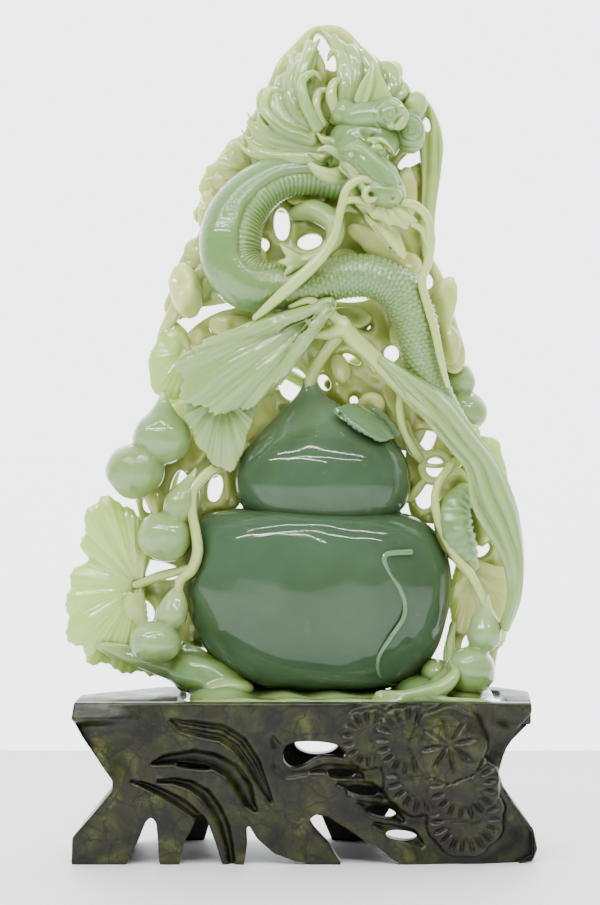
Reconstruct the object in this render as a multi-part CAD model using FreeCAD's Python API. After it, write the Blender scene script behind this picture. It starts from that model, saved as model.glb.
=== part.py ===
"""Jade carving of a double gourd, a dragon and vine leaves, standing in a carved stone stand.

The real object is two stones. The jade is one openwork block, cut here along its carved motifs:
the gourd, the dragon, leaves, small gourds, vines and the pierced ground behind them. The stand is
one block of dark green stone: a top slab with a shallow recess, two pierced aprons and two ends.
The carving lifts straight up out of the recess.

Frame: millimetres, +Z up, front towards -Y. The origin is under the middle of the whole object,
on the surface that the stand rests on.
"""

import FreeCAD, Part
import math
import os

V = FreeCAD.Vector

# Driving dimensions of the stand
STAND_TOP = 81.0
STAND_FRONT = -55.0
STAND_BACK = 59.0
SLAB_THICKNESS = 12.0
APRON_THICKNESS = 14.0
RECESS_DEPTH = 5.0
RECESS_LEFT, RECESS_RIGHT = -62.0, 106.0
RECESS_FRONT, RECESS_BACK = -50.0, 38.0
RELIEF = 4.0

# Driving dimensions of the carving
CARVING_BOTTOM = STAND_TOP - RECESS_DEPTH
MAIN_AXIS_X = 12.5
MAIN_AXIS_Y = -6.0
LOWER_BULB_RADII = (69.5, 38.0, 46.5)
UPPER_BULB_RADII = (45.5, 33.0, 30.0)
DRAGON_RADIUS = 12.0
VINE_RADIUS = 3.2
TENDRIL_RADIUS = 2.0
GROUND_FRONT, GROUND_BACK = 0.0, 10.0


# ---- shape helpers -------------------------------------------------------------------------------

def upright_face(points):
    """A flat face in the plane Y = 0, bounded by straight lines through (x, z) points."""
    corners = [V(x, 0, z) for x, z in points]
    return Part.Face(Part.makePolygon(corners + corners[:1]))


def smooth_face(points):
    """A flat face in the plane Y = 0, bounded by one smooth closed curve through (x, z) points."""
    curve = Part.BSplineCurve()
    curve.interpolate(Points=[V(x, 0, z) for x, z in points], PeriodicFlag=True)
    return Part.Face(Part.Wire([curve.toShape()]))


def slab_of(face, front, back):
    """Extrudes an upright face along Y from front to back."""
    solid = face.extrude(V(0, back - front, 0))
    solid.translate(V(0, front, 0))
    return solid


def oval_hole(x, z, half_width, half_height, turn, front, back):
    """An oval cutter through a slab, turned by some degrees in the XZ plane."""
    long_half = max(half_width, half_height)
    short_half = min(half_width, half_height)
    oval = Part.Ellipse(V(0, 0, 0), long_half, short_half).toShape()
    cutter = Part.Face(Part.Wire([oval])).extrude(V(0, 0, back - front))
    quarter = 90.0 if half_height > half_width else 0.0
    cutter.rotate(V(0, 0, 0), V(0, 0, 1), turn + quarter)
    cutter.rotate(V(0, 0, 0), V(1, 0, 0), 90.0)
    cutter.translate(V(x, back, z))
    return cutter


def pierced(face, front, back, holes):
    """An upright slab with oval holes, each given as (x, z, half_width, half_height, turn)."""
    solid = slab_of(face, front, back)
    for x, z, half_width, half_height, turn in holes:
        cutter = oval_hole(x, z, half_width, half_height, turn, front - 1.0, back + 1.0)
        solid = solid.cut(cutter)
    return solid


def ball(centre, radii, tilt=0.0):
    """An ellipsoid with three half axes, tilted about Y by some degrees."""
    stretch = FreeCAD.Matrix()
    stretch.scale(*radii)
    solid = Part.makeSphere(1.0).transformGeometry(stretch)
    solid.rotate(V(0, 0, 0), V(0, 1, 0), tilt)
    solid.translate(V(*centre))
    return solid


def turned(profile):
    """A solid of revolution about Z. The profile is (radius, z) points that start and end on Z."""
    curve = Part.BSplineCurve()
    curve.interpolate([V(r, 0, z) for r, z in profile])
    first, last = curve.value(curve.FirstParameter), curve.value(curve.LastParameter)
    closing = Part.LineSegment(last, first)
    face = Part.Face(Part.Wire([curve.toShape(), closing.toShape()]))
    return face.revolve(V(0, 0, 0), V(0, 0, 1), 360.0)


def aimed(solid, start, direction):
    """Turns a solid that points up +Z to point along direction, and moves its origin to start."""
    solid.Placement = FreeCAD.Placement(V(*start), FreeCAD.Rotation(V(0, 0, 1), V(*direction)))
    return solid


def rounded_path(points):
    """A wire of straight runs joined by tangent arcs, each as large as its two runs allow."""
    corners = [V(*p) for p in points]
    edges, at = [], corners[0]
    for before, corner, after in zip(corners, corners[1:], corners[2:]):
        back, ahead = before - corner, after - corner
        reach = 0.45 * min(back.Length, ahead.Length)
        back.normalize()
        ahead.normalize()
        start, end = corner + back * reach, corner + ahead * reach
        half_turn = (math.pi - back.getAngle(ahead)) / 2
        radius = reach / math.tan(half_turn)
        middle = (back + ahead).normalize()
        bulge = radius / math.cos(half_turn) - radius
        edges.append(Part.LineSegment(at, start).toShape())
        edges.append(Part.Arc(start, corner + middle * bulge, end).toShape())
        at = end
    edges.append(Part.LineSegment(at, corners[-1]).toShape())
    return Part.Wire(edges)


def tube(points, radius):
    """A round rod of constant radius along a rounded path."""
    path = rounded_path(points)
    first, second = V(*points[0]), V(*points[1])
    rim = Part.Wire([Part.makeCircle(radius, first, second - first)])
    return path.makePipeShell([rim], True, True)


def loose(solids):
    """Several separate solids that share one node."""
    return Part.makeCompound(solids)


# ---- the main gourd ------------------------------------------------------------------------------

def gourd_lower_bulb():
    return ball((MAIN_AXIS_X, MAIN_AXIS_Y, 129.5), LOWER_BULB_RADII)


def gourd_upper_bulb():
    """The upper bulb with its drawn-up neck."""
    bulb = ball((MAIN_AXIS_X, MAIN_AXIS_Y, 196.0), UPPER_BULB_RADII)
    neck = Part.makeCone(17.0, 3.0, 22.0, V(MAIN_AXIS_X - 1.0, MAIN_AXIS_Y, 219.0), V(-0.15, 0, 1))
    return bulb.fuse(neck)


def gourd_stem():
    points = [(9, -8, 236), (8, -14, 246), (12, -22, 256), (20, -28, 265)]
    return tube(points, 2.8)


def gourd_tendril():
    """The thin curling tendril that lies on the front of the lower bulb."""
    points = [(58, -31, 157), (50, -38, 157), (44, -41, 150), (49, -42, 140), (55, -38, 130)]
    points += [(52, -38, 119), (44, -37, 110), (40, -35, 99), (46, -32, 91), (57, -28, 89)]
    return tube(points, TENDRIL_RADIUS)


def gourd_small_leaf():
    outline = [(20, 227), (31, 231), (44, 227), (53, 218), (46, 213), (33, 217)]
    solid = slab_of(smooth_face(outline), -8.0, -4.0)
    solid.rotate(V(36, -6, 222), V(1, 0, 0), -28.0)
    solid.translate(V(0, -22, 0))
    return solid


# ---- the small gourds ----------------------------------------------------------------------------

SMALL_GOURDS = {
    "small_gourd_left_top": ((-83, -15, 197), (-69, -15, 231), 17.0),
    "small_gourd_left_middle": ((-68, -21, 164), (-55, -19, 194), 15.0),
    "small_gourd_left_low": ((-72, -23, 111), (-60, -21, 137), 14.0),
    "small_gourd_right_low": ((88, -23, 97), (97, -21, 125), 14.0),
    "small_gourd_right_top": ((87, 14, 227), (80, 14, 255), 12.5),
}


def small_gourd(low, tip, radius):
    """A small two-bulb gourd from the centre of its lower bulb to the tip of its stalk."""
    axis = V(*tip) - V(*low)
    height = axis.Length / radius + 1.0
    shape = [(0, 0), (0.62, 0.2), (1.0, 0.95), (0.62, 1.68), (0.68, 2.2), (0.4, 2.72), (0.13, 3.0)]
    profile = [(radius * r, radius * z) for r, z in shape] + [(0, radius * height)]
    solid = turned(profile)
    axis.normalize()
    return aimed(solid, V(*low) - axis * radius, axis)


# ---- the dragon ----------------------------------------------------------------------------------

def dragon_body_loop():
    points = [(30, -2, 345), (5, -6, 353), (-21, -14, 346), (-36, -20, 326), (-35, -22, 303)]
    points += [(-18, -25, 289), (8, -25, 288), (30, -23, 294), (48, -19, 288), (62, -15, 272)]
    points += [(70, -13, 250), (74, -12, 228)]
    return tube(points, DRAGON_RADIUS)


def dragon_tail_end():
    return tube([(86, -12, 192), (79, -15, 178), (79, -17, 165), (87, -16, 154)], 8.5)


def dragon_head():
    skull = ball((33, -20, 362), (20, 19, 17))
    snout = ball((43, -27, 341), (12, 13, 25), tilt=-38.0)
    return skull.fuse(snout)


def dragon_brow_scroll():
    near = Part.makeSphere(15.0, V(48, -18, 375))
    far = Part.makeSphere(12.0, V(64, -12, 366))
    return near.fuse(far)


def dragon_lower_jaw():
    return tube([(24, -26, 346), (15, -29, 346), (7, -30, 351)], 5.0)


def dragon_beard():
    outline = [(29, 333), (36, 329), (44, 325), (56, 327), (62, 320), (56, 316), (51, 303), (43, 313)]
    outline += [(34, 322)]
    return slab_of(smooth_face(outline), -37.0, -31.0)


def dragon_eyes():
    return loose([Part.makeSphere(3.4, V(27, -38, 361)), Part.makeSphere(3.2, V(41, -37, 358))])


def dragon_horns():
    near = tube([(30, -16, 376), (24, -16, 388), (22, -13, 399), (27, -10, 409)], 3.0)
    far = tube([(40, -10, 380), (42, -8, 392), (46, -6, 401)], 3.0)
    return loose([near, far])


def dragon_whisker_left():
    points = [(36, -39, 340), (28, -42, 342), (22, -42, 333), (20, -41, 318), (13, -40, 303)]
    points += [(3, -40, 289), (-10, -40, 277)]
    return tube(points, 2.2)


def dragon_whisker_right():
    points = [(55, -38, 329), (63, -38, 325), (68, -35, 314), (66, -32, 300), (63, -31, 289)]
    points += [(67, -30, 275), (72, -29, 260)]
    return tube(points, 2.0)


def dragon_foreleg():
    points = [(2, -9, 330), (12, -16, 326), (17, -22, 315), (10, -27, 305), (-2, -36, 302)]
    return tube(points, 5.0)


MANE = {
    "dragon_mane_left": ([(14, 352), (-6, 351), (-24, 356), (-31, 362), (-26, 376), (-17, 391),
                          (-7, 408), (1, 420), (9, 429), (10, 415), (9, 399), (11, 378)], -14, 0),
    "dragon_mane_right": ([(24, 376), (15, 390), (14, 408), (12, 428), (24, 425), (38, 411),
                           (50, 402), (60, 388), (52, 385), (40, 386)], -10, 2),
    "dragon_crest": ([(57, 393), (64, 392), (71, 381), (76, 366), (74, 343), (71, 308), (65, 305),
                      (65, 337), (66, 363), (61, 380)], -7, 4),
}


# ---- leaves --------------------------------------------------------------------------------------

LEAVES = {
    "leaf_front_left": ([(17, 284), (11, 271), (0, 260), (-9, 246), (-19, 232), (-33, 225),
                         (-51, 227), (-60, 236), (-63, 248), (-59, 257), (-48, 261), (-29, 259),
                         (-12, 266), (2, 277)], -37, -30),
    "leaf_hanging_left": ([(-20, 231), (-25, 213), (-32, 198), (-41, 199), (-50, 207), (-56, 218),
                           (-59, 230), (-40, 236)], -30, -24),
    "leaf_left_fan": ([(-76, 135), (-81, 160), (-90, 179), (-102, 184), (-110, 174), (-113, 160),
                       (-112, 150), (-119, 141), (-121, 124), (-120, 113), (-113, 104),
                       (-104, 98), (-89, 96), (-77, 104)], -6, 0),
    "leaf_right_large": ([(68, 238), (80, 225), (92, 213), (102, 195), (110, 176), (114, 157),
                          (111, 134), (107, 152), (98, 158), (90, 171), (86, 188), (83, 205),
                          (72, 222)], -29, -22),
    "leaf_right_low": ([(81, 159), (91, 152), (100, 148), (112, 144), (110, 122), (103, 104),
                        (95, 118), (88, 110), (81, 118), (79, 138)], -6, 0),
    "leaf_right_upper": ([(94, 213), (105, 212), (109, 198), (111, 182), (105, 176), (99, 196)], -2, 3),
    "leaf_left_high": ([(-27, 369), (-38, 364), (-48, 353), (-51, 340), (-53, 330), (-47, 322),
                        (-40, 338), (-25, 353)], 0, 5),
    "leaf_left_side": ([(-53, 317), (-60, 306), (-66, 294), (-69, 283), (-63, 274), (-53, 284),
                        (-48, 302)], 0, 5),
    "leaf_left_edge": ([(-67, 275), (-75, 263), (-78, 247), (-72, 236), (-61, 234), (-58, 248),
                        (-56, 264)], 0, 5),
    "leaf_back_left": ([(-30, 262), (-52, 256), (-70, 238), (-76, 214), (-62, 196), (-42, 192),
                        (-26, 206), (-18, 232)], 26, 32),
    "leaf_back_right": ([(58, 252), (78, 244), (94, 226), (98, 200), (84, 184), (64, 190),
                         (52, 212)], 26, 32),
    "leaf_back_top": ([(8, 392), (-14, 384), (-30, 364), (-30, 340), (-12, 326), (14, 328),
                       (30, 346), (28, 374)], 18, 24),
}


# ---- vines ---------------------------------------------------------------------------------------

VINES = {
    "vine_main": ([(-10, -28, 262), (6, -28, 267), (23, -29, 268), (38, -28, 255), (52, -27, 241),
                   (66, -27, 228), (80, -27, 214)], VINE_RADIUS),
    "vine_inner": ([(44, -24, 246), (52, -21, 237), (51, -17, 226), (55, -14, 214), (62, -9, 206)], 2.2),
    "vine_left": ([(-28, -14, 209), (-41, -17, 197), (-51, -19, 187), (-55, -20, 173),
                   (-48, -20, 159), (-50, -21, 144), (-57, -21, 131)], 2.4),
    "vine_right": ([(77, -14, 195), (70, -19, 185), (71, -21, 168), (79, -23, 152),
                    (90, -22, 143), (96, -21, 128)], 2.4),
    "vine_back_left": ([(8, 12, 240), (-12, 25, 250), (-34, 25, 240), (-52, 25, 222),
                        (-64, 23, 200), (-68, 16, 178), (-66, 11, 158)], VINE_RADIUS),
    "vine_back_right": ([(16, 12, 242), (34, 25, 256), (56, 25, 246), (74, 25, 226),
                         (84, 22, 198), (88, 16, 172), (90, 11, 150)], VINE_RADIUS),
    "vine_back_top": ([(24, 12, 262), (38, 14, 280), (36, 17, 302), (22, 20, 318),
                       (4, 18, 330)], VINE_RADIUS),
}


def vine_ring():
    """The small closed loop of vine at the right of the upper bulb."""
    ring = Part.makeTorus(7.0, 2.0, V(0, 0, 0), V(0, 1, 0))
    ring.translate(V(71, -3, 199))
    return ring


# ---- the pierced ground behind the motifs --------------------------------------------------------

GROUNDS = {
    "ground_left": (
        [(-60, 234), (-43, 221), (-31, 205), (-31, 180), (-47, 172), (-53, 151), (-57, 130),
         (-48, 106), (-40, 92), (-67, 90), (-82, 101), (-88, 122), (-95, 146), (-83, 170),
         (-86, 192), (-77, 216)],
        [(-59, 189, 5, 8, 0), (-43, 188, 4, 8, -15), (-72, 147, 11, 5, 5), (-80, 124, 5, 6, 20)],
    ),
    "ground_right": (
        [(61, 248), (80, 233), (96, 214), (106, 188), (111, 155), (109, 122), (103, 100), (100, 84),
         (80, 84), (75, 104), (82, 130), (84, 156), (74, 176), (60, 187), (59, 218)],
        [(66, 213, 5, 6, 0), (79, 200, 4, 4, 0), (69, 182, 5, 7, -20), (81, 107, 4, 7, 0)],
    ),
    "ground_middle": (
        [(-62, 262), (-43, 278), (-15, 283), (17, 289), (50, 285), (70, 264), (73, 240), (61, 214),
         (45, 233), (22, 238), (6, 240), (-15, 226), (-33, 208), (-48, 214), (-60, 236)],
        [(-2, 246, 8, 8, 0), (-4, 259, 4, 4, 0), (26, 286, 9, 3, 0), (17, 251, 4, 6, 20),
         (50, 262, 4, 6, 20)],
    ),
    "ground_top": (
        [(11, 430), (24, 427), (36, 415), (50, 405), (62, 391), (70, 381), (74, 365), (71, 343),
         (69, 312), (75, 299), (82, 276), (86, 252), (78, 248), (66, 270), (48, 290), (17, 294),
         (-15, 288), (-43, 283), (-58, 280), (-66, 270), (-73, 268), (-66, 286), (-64, 306),
         (-54, 320), (-48, 343), (-40, 358), (-30, 369), (-25, 380), (-17, 394), (-11, 409),
         (0, 421)],
        [(-9, 325, 5, 10, 0), (-19, 314, 5, 4, 0), (6, 314, 6, 4, 0), (13, 415, 4, 8, 25),
         (58, 360, 8, 4, 25), (67, 376, 2.5, 5, 10)],
    ),
}


# ---- the rock base of the carving ----------------------------------------------------------------

def rock_base():
    """The flat foot that sits in the stand's recess, with its waves rising at both ends."""
    outline = [(-53, CARVING_BOTTOM), (-55, 83), (-46, 92), (-30, 88), (0, 85), (40, 85), (60, 89)]
    outline += [(72, 95), (84, 87), (98, 86), (101, CARVING_BOTTOM)]
    return slab_of(upright_face(outline), -46.0, 33.0)


def rock_wave_left():
    outline = [(-50, 84), (-64, 83), (-80, 90), (-88, 96), (-84, 103), (-66, 100), (-52, 97), (-46, 90)]
    return slab_of(smooth_face(outline), -22.0, 12.0)


def rock_wave_right():
    outline = [(62, 86), (64, 96), (72, 101), (78, 98), (77, 86)]
    return slab_of(upright_face(outline), -30.0, 16.0)


# ---- the stand -----------------------------------------------------------------------------------

SLAB_PLAN = [(-114, STAND_FRONT), (117, STAND_FRONT), (121.3, 24), (106, STAND_BACK), (-72, STAND_BACK),
             (-112.5, 0)]
# Outline of the front apron, from under the slab down the left side and back along the feet
APRON_OUTLINE = [(-112, 69), (-99, 51), (-93, 40), (-112, 14), (-113, 0), (-86, 0), (-73, 22), (-70, 0),
                 (-59, 0), (-54, 14), (-48, 25), (-42, 14), (-38, 0), (-26, 0), (-26, 22),
                 (-21, 14), (-13, 6), (1, 1), (22, 0), (14, 11), (6, 20), (9, 25), (15, 24),
                 (25, 17), (40, 8), (48, 3), (52, 0), (113, 0), (119, 5), (117, 17), (104, 36),
                 (101, 47), (105, 57), (113, 69)]
BACK_OUTLINE = [(-72, 69), (-72, 0), (-50, 0), (-40, 24), (-22, 36), (0, 30), (18, 0), (42, 0),
                (52, 22), (70, 30), (80, 0), (104, 0), (104, 69)]
APRON_OPENINGS = [(8, 55, 15, 5, 6), (-53, 49, 10, 2, -5), (22, 45, 8, 2.6, -10),
                  (32, 36.5, 8, 3, -12), (42, 26.5, 8, 3, -12), (52, 15, 8, 2.2, -8)]
BACK_OPENINGS = [(-30, 55, 14, 5, 0), (10, 52, 12, 6, 0), (50, 54, 14, 5, 0)]


def slab_flat(points, bottom, top):
    """A flat polygon in plan, from bottom to top."""
    corners = [V(x, y, bottom) for x, y in points]
    return Part.Face(Part.makePolygon(corners + corners[:1])).extrude(V(0, 0, top - bottom))


def stand_top_slab():
    slab = slab_flat(SLAB_PLAN, STAND_TOP - SLAB_THICKNESS, STAND_TOP)
    size = (RECESS_RIGHT - RECESS_LEFT, RECESS_BACK - RECESS_FRONT, RECESS_DEPTH + 1.0)
    recess = Part.makeBox(*size, V(RECESS_LEFT, RECESS_FRONT, STAND_TOP - RECESS_DEPTH))
    upright_edges = [e for e in recess.Edges if e.tangentAt(e.FirstParameter).z ** 2 > 0.9]
    return slab.cut(recess.makeFillet(10.0, upright_edges))


def stand_front_apron():
    back = STAND_FRONT + APRON_THICKNESS
    return pierced(upright_face(APRON_OUTLINE), STAND_FRONT, back, APRON_OPENINGS)


def stand_back_apron():
    front = STAND_BACK - APRON_THICKNESS
    return pierced(upright_face(BACK_OUTLINE), front, STAND_BACK, BACK_OPENINGS)


def stand_left_end():
    outline = [(-111, 69), (-99, 51), (-93, 40), (-112, 14), (-113, 0), (-88, 0), (-78, 20), (-78, 69)]
    solid = slab_of(upright_face(outline), STAND_FRONT + APRON_THICKNESS, STAND_BACK)
    corner = slab_flat([(-120, 8), (-112, 8), (-71, 60), (-120, 60)], -1.0, STAND_TOP)
    return solid.cut(corner)


def stand_right_end():
    outline = [(70, 69), (70, 0), (119, 0), (121, 6), (119, 17), (106, 36), (103, 47), (107, 57), (115, 69)]
    solid = slab_of(upright_face(outline), STAND_FRONT + APRON_THICKNESS, STAND_BACK)
    corner = slab_flat([(121.3, 24), (105, 60), (130, 60), (130, 24)], -1.0, STAND_TOP)
    return solid.cut(corner)


PINE_DISCS = [(84, 23, 19, 1.2), (62, 41, 16, 1.2), (83, 40, 19, 2.2), (36, 62, 15, 1.2), (52, 60, 18, 2.2),
              (75, 60, 20, RELIEF)]


def stand_pine_clusters():
    """Six overlapping needle clusters cut in relief on the front, each trimmed by those over it."""
    discs = []
    for x, z, radius, height in reversed(PINE_DISCS):
        disc = Part.makeCylinder(radius, height, V(x, STAND_FRONT, z), V(0, -1, 0))
        for over in discs:
            disc = disc.cut(over)
        discs.append(disc)
    return loose(discs)


ORCHID_BLADES = [
    [(-64, 72), (-52, 74), (-38, 71), (-26, 63), (-18, 52), (-15, 38), (-22, 48), (-31, 57), (-42, 63), (-54, 65)],
    [(-74, 53), (-60, 58), (-44, 56), (-31, 48), (-25, 38), (-24, 24), (-30, 36), (-40, 44), (-54, 49)],
    [(-84, 43), (-68, 43), (-54, 38), (-42, 28), (-36, 14), (-34, 3), (-40, 16), (-50, 28), (-64, 36)],
]


def stand_orchid_blades():
    """Three long curved leaves cut in low relief at the left of the front."""
    return loose([slab_of(smooth_face(b), STAND_FRONT - 2.5, STAND_FRONT) for b in ORCHID_BLADES])


# ---- assembly ------------------------------------------------------------------------------------

def carving_shapes():
    """The carved motifs of the jade, most important first: each is trimmed by those before it."""
    shapes = {
        "gourd_lower_bulb": gourd_lower_bulb(),
        "gourd_upper_bulb": gourd_upper_bulb(),
        "dragon_head": dragon_head(),
        "dragon_body_loop": dragon_body_loop(),
        "dragon_brow_scroll": dragon_brow_scroll(),
        "dragon_lower_jaw": dragon_lower_jaw(),
        "rock_base": rock_base(),
        "gourd_stem": gourd_stem(),
        "gourd_tendril": gourd_tendril(),
        "gourd_small_leaf": gourd_small_leaf(),
        "dragon_tail_end": dragon_tail_end(),
        "dragon_foreleg": dragon_foreleg(),
        "dragon_eyes": dragon_eyes(),
        "dragon_horns": dragon_horns(),
        "dragon_beard": dragon_beard(),
        "dragon_whisker_left": dragon_whisker_left(),
        "dragon_whisker_right": dragon_whisker_right(),
    }
    for name, (low, tip, radius) in SMALL_GOURDS.items():
        shapes[name] = small_gourd(low, tip, radius)
    for name, (points, radius) in VINES.items():
        shapes[name] = tube(points, radius)
    shapes["vine_ring"] = vine_ring()
    for name, (outline, front, back) in {**LEAVES, **MANE}.items():
        shapes[name] = slab_of(smooth_face(outline), front, back)
    shapes["rock_wave_left"] = rock_wave_left()
    shapes["rock_wave_right"] = rock_wave_right()
    for name, (outline, holes) in GROUNDS.items():
        shapes[name] = pierced(smooth_face(outline), GROUND_FRONT, GROUND_BACK, holes)
    return shapes


def stand_shapes():
    return {
        "stand_top_slab": stand_top_slab(),
        "stand_front_apron": stand_front_apron(),
        "stand_back_apron": stand_back_apron(),
        "stand_left_end": stand_left_end(),
        "stand_right_end": stand_right_end(),
        "stand_pine_clusters": stand_pine_clusters(),
        "stand_orchid_blades": stand_orchid_blades(),
    }


SMALLEST_CHIP = 0.02
# Set into their neighbour whole, as the record's press fits say
SET_IN = ("dragon_eyes",)


def without_chips(shape):
    """The solids of a shape, leaving out chips under a fiftieth of its largest solid."""
    solids = sorted(shape.Solids, key=lambda s: -s.Volume)
    kept = [s for s in solids if s.Volume > SMALLEST_CHIP * solids[0].Volume]
    return kept[0] if len(kept) == 1 else loose(kept)


def trimmed(shapes):
    """Cuts each shape back by the earlier ones it runs into, so that neighbours meet face to face."""
    done = {}
    for name, shape in shapes.items():
        for other_name, other in done.items():
            if name in SET_IN or other_name in SET_IN:
                continue
            if not shape.BoundBox.intersect(other.BoundBox):
                continue
            if shape.common(other).Volume < 0.01:
                continue
            smaller = shape.cut(other)
            if smaller.isValid() and smaller.Solids:
                shape = smaller
            else:
                print("left overlapping:", name, other_name)
        done[name] = without_chips(shape)
    return done


def main():
    os.makedirs("parts", exist_ok=True)
    for shapes in (carving_shapes(), stand_shapes()):
        for name, shape in trimmed(shapes).items():
            if not shape.isValid():
                print("not valid:", name)
            shape.exportStep(os.path.join("parts", name + ".step"))


main()
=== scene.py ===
"""Jade carving of a double gourd, a dragon and vine leaves on a carved serpentine stand.

Sizes in the tables are millimetres in the frame's axes: X right, Y back, Z up.
"""

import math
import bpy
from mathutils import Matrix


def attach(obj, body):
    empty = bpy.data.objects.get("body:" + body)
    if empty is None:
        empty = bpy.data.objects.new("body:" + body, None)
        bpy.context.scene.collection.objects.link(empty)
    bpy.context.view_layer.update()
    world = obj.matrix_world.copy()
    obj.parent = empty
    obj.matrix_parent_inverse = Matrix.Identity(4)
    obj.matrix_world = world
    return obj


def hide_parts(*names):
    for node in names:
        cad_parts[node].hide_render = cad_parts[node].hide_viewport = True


bl_info = {
    "name": "Jade Gourd Carving",
    "version": (1, 0, 0),
    "blender": (4, 5, 0),
    "location": "View3D > Sidebar > Jade Carving",
    "description": "Carves a jade gourd, its dragon, leaves and vines, and the stone stand under them",
    "category": "Object",
}

import bpy
from mathutils import Vector, noise

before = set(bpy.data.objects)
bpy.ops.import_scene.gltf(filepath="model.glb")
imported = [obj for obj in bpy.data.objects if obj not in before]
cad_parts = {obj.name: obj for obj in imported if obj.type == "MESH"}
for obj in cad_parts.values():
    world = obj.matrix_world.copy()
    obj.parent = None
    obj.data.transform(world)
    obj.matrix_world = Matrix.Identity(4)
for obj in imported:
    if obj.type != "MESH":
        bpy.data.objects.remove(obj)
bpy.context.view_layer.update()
MM = 0.001


# ---- lines ---------------------------------------------------------------------------------------

def mix(a, b, t):
    """The value a share t of the way from a to b."""
    return a + (b - a) * t


def smooth(t):
    """Eases from 0 to 1 as t does."""
    t = min(1.0, max(0.0, t))
    return t * t * (3 - 2 * t)


def between(low, high, value):
    """0 below low, 1 above high, and an even ease between."""
    return smooth((value - low) / (high - low))


def through(points, count, closed=False):
    """A smooth line through points of any number of coordinates, as count even steps."""
    n = len(points)
    spans = n if closed else n - 1

    def at(i):
        if closed:
            return points[i % n]
        if i < 0:
            return tuple(2 * a - b for a, b in zip(points[0], points[1]))
        if i >= n:
            return tuple(2 * a - b for a, b in zip(points[-1], points[-2]))
        return points[i]

    def value(t):
        i = min(int(t), spans - 1)
        f = t - i
        out = []
        for p0, p1, p2, p3 in zip(at(i - 1), at(i), at(i + 1), at(i + 2)):
            out.append(0.5 * (2 * p1 + (p2 - p0) * f + (2 * p0 - 5 * p1 + 4 * p2 - p3) * f * f
                              + (3 * p1 - p0 - 3 * p2 + p3) * f ** 3))
        return out

    fine = [value(spans * k / (count * 4)) for k in range(count * 4 + 1)]
    run = [0.0]
    for a, b in zip(fine, fine[1:]):
        run.append(run[-1] + math.dist(a[:3], b[:3]))
    result, j = [], 0
    for k in range(count if closed else count + 1):
        want = run[-1] * k / count
        while j < len(run) - 2 and run[j + 1] < want:
            j += 1
        f = (want - run[j]) / max(run[j + 1] - run[j], 1e-9)
        result.append([mix(a, b, f) for a, b in zip(fine[j], fine[j + 1])])
    return result


def off_line(x, z, line):
    """Distance from (x, z) to a line of (x, z, half_width) points, and the half width there."""
    best, width = 1e9, 1.0
    for (ax, az, aw), (bx, bz, bw) in zip(line, line[1:]):
        dx, dz = bx - ax, bz - az
        t = ((x - ax) * dx + (z - az) * dz) / max(dx * dx + dz * dz, 1e-9)
        t = min(1.0, max(0.0, t))
        d = math.hypot(x - ax - t * dx, z - az - t * dz)
        if d < best:
            best, width = d, mix(aw, bw, t)
    return best, width


# ---- making and joining pieces -------------------------------------------------------------------

def alone(obj):
    """Makes obj the only selected and active object."""
    if bpy.context.object and bpy.context.object.mode != "OBJECT":
        bpy.ops.object.mode_set(mode="OBJECT")
    bpy.ops.object.select_all(action="DESELECT")
    obj.select_set(True)
    bpy.context.view_layer.objects.active = obj
    return obj


def apply(obj, kind, **settings):
    """Adds a modifier to obj and applies it."""
    alone(obj)
    modifier = obj.modifiers.new(kind.title(), kind)
    for key, value in settings.items():
        setattr(modifier, key, value)
    bpy.ops.object.modifier_apply(modifier=modifier.name)
    return obj


def settle(obj):
    """Applies the object's place, turn and scale to its mesh."""
    alone(obj)
    bpy.ops.object.transform_apply(location=True, rotation=True, scale=True)
    return obj


def joined(pieces):
    """The pieces as one object."""
    alone(pieces[0])
    for piece in pieces[1:]:
        piece.select_set(True)
    if len(pieces) > 1:
        bpy.ops.object.join()
    return bpy.context.object


def tidy(obj):
    """Merges doubles and turns every face outwards."""
    alone(obj)
    bpy.ops.object.mode_set(mode="EDIT")
    bpy.ops.mesh.select_all(action="SELECT")
    bpy.ops.mesh.remove_doubles(threshold=0.00002)
    bpy.ops.mesh.select_all(action="SELECT")
    bpy.ops.mesh.normals_make_consistent(inside=False)
    bpy.ops.object.mode_set(mode="OBJECT")
    return obj


def woven(cols, rows, place):
    """A grid whose corner (u, v), each from 0 to 1, is put at place(u, v) in millimetres."""
    bpy.ops.object.select_all(action="DESELECT")
    bpy.ops.mesh.primitive_grid_add(x_subdivisions=cols, y_subdivisions=rows, size=1)
    obj = bpy.context.object
    for vertex in obj.data.vertices:
        u, v = vertex.co.x + 0.5, vertex.co.y + 0.5
        vertex.co = Vector(place(u, v)) * MM
    return obj


def lump(centre, radii, turn=(0, 0, 0), segments=40):
    """An ellipsoid, turned by degrees about X, Y and Z."""
    bpy.ops.object.select_all(action="DESELECT")
    bpy.ops.mesh.primitive_uv_sphere_add(segments=segments, ring_count=segments // 2, radius=MM)
    obj = bpy.context.object
    obj.scale = radii
    obj.rotation_euler = [math.radians(a) for a in turn]
    obj.location = Vector(centre) * MM
    return settle(obj)


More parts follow.
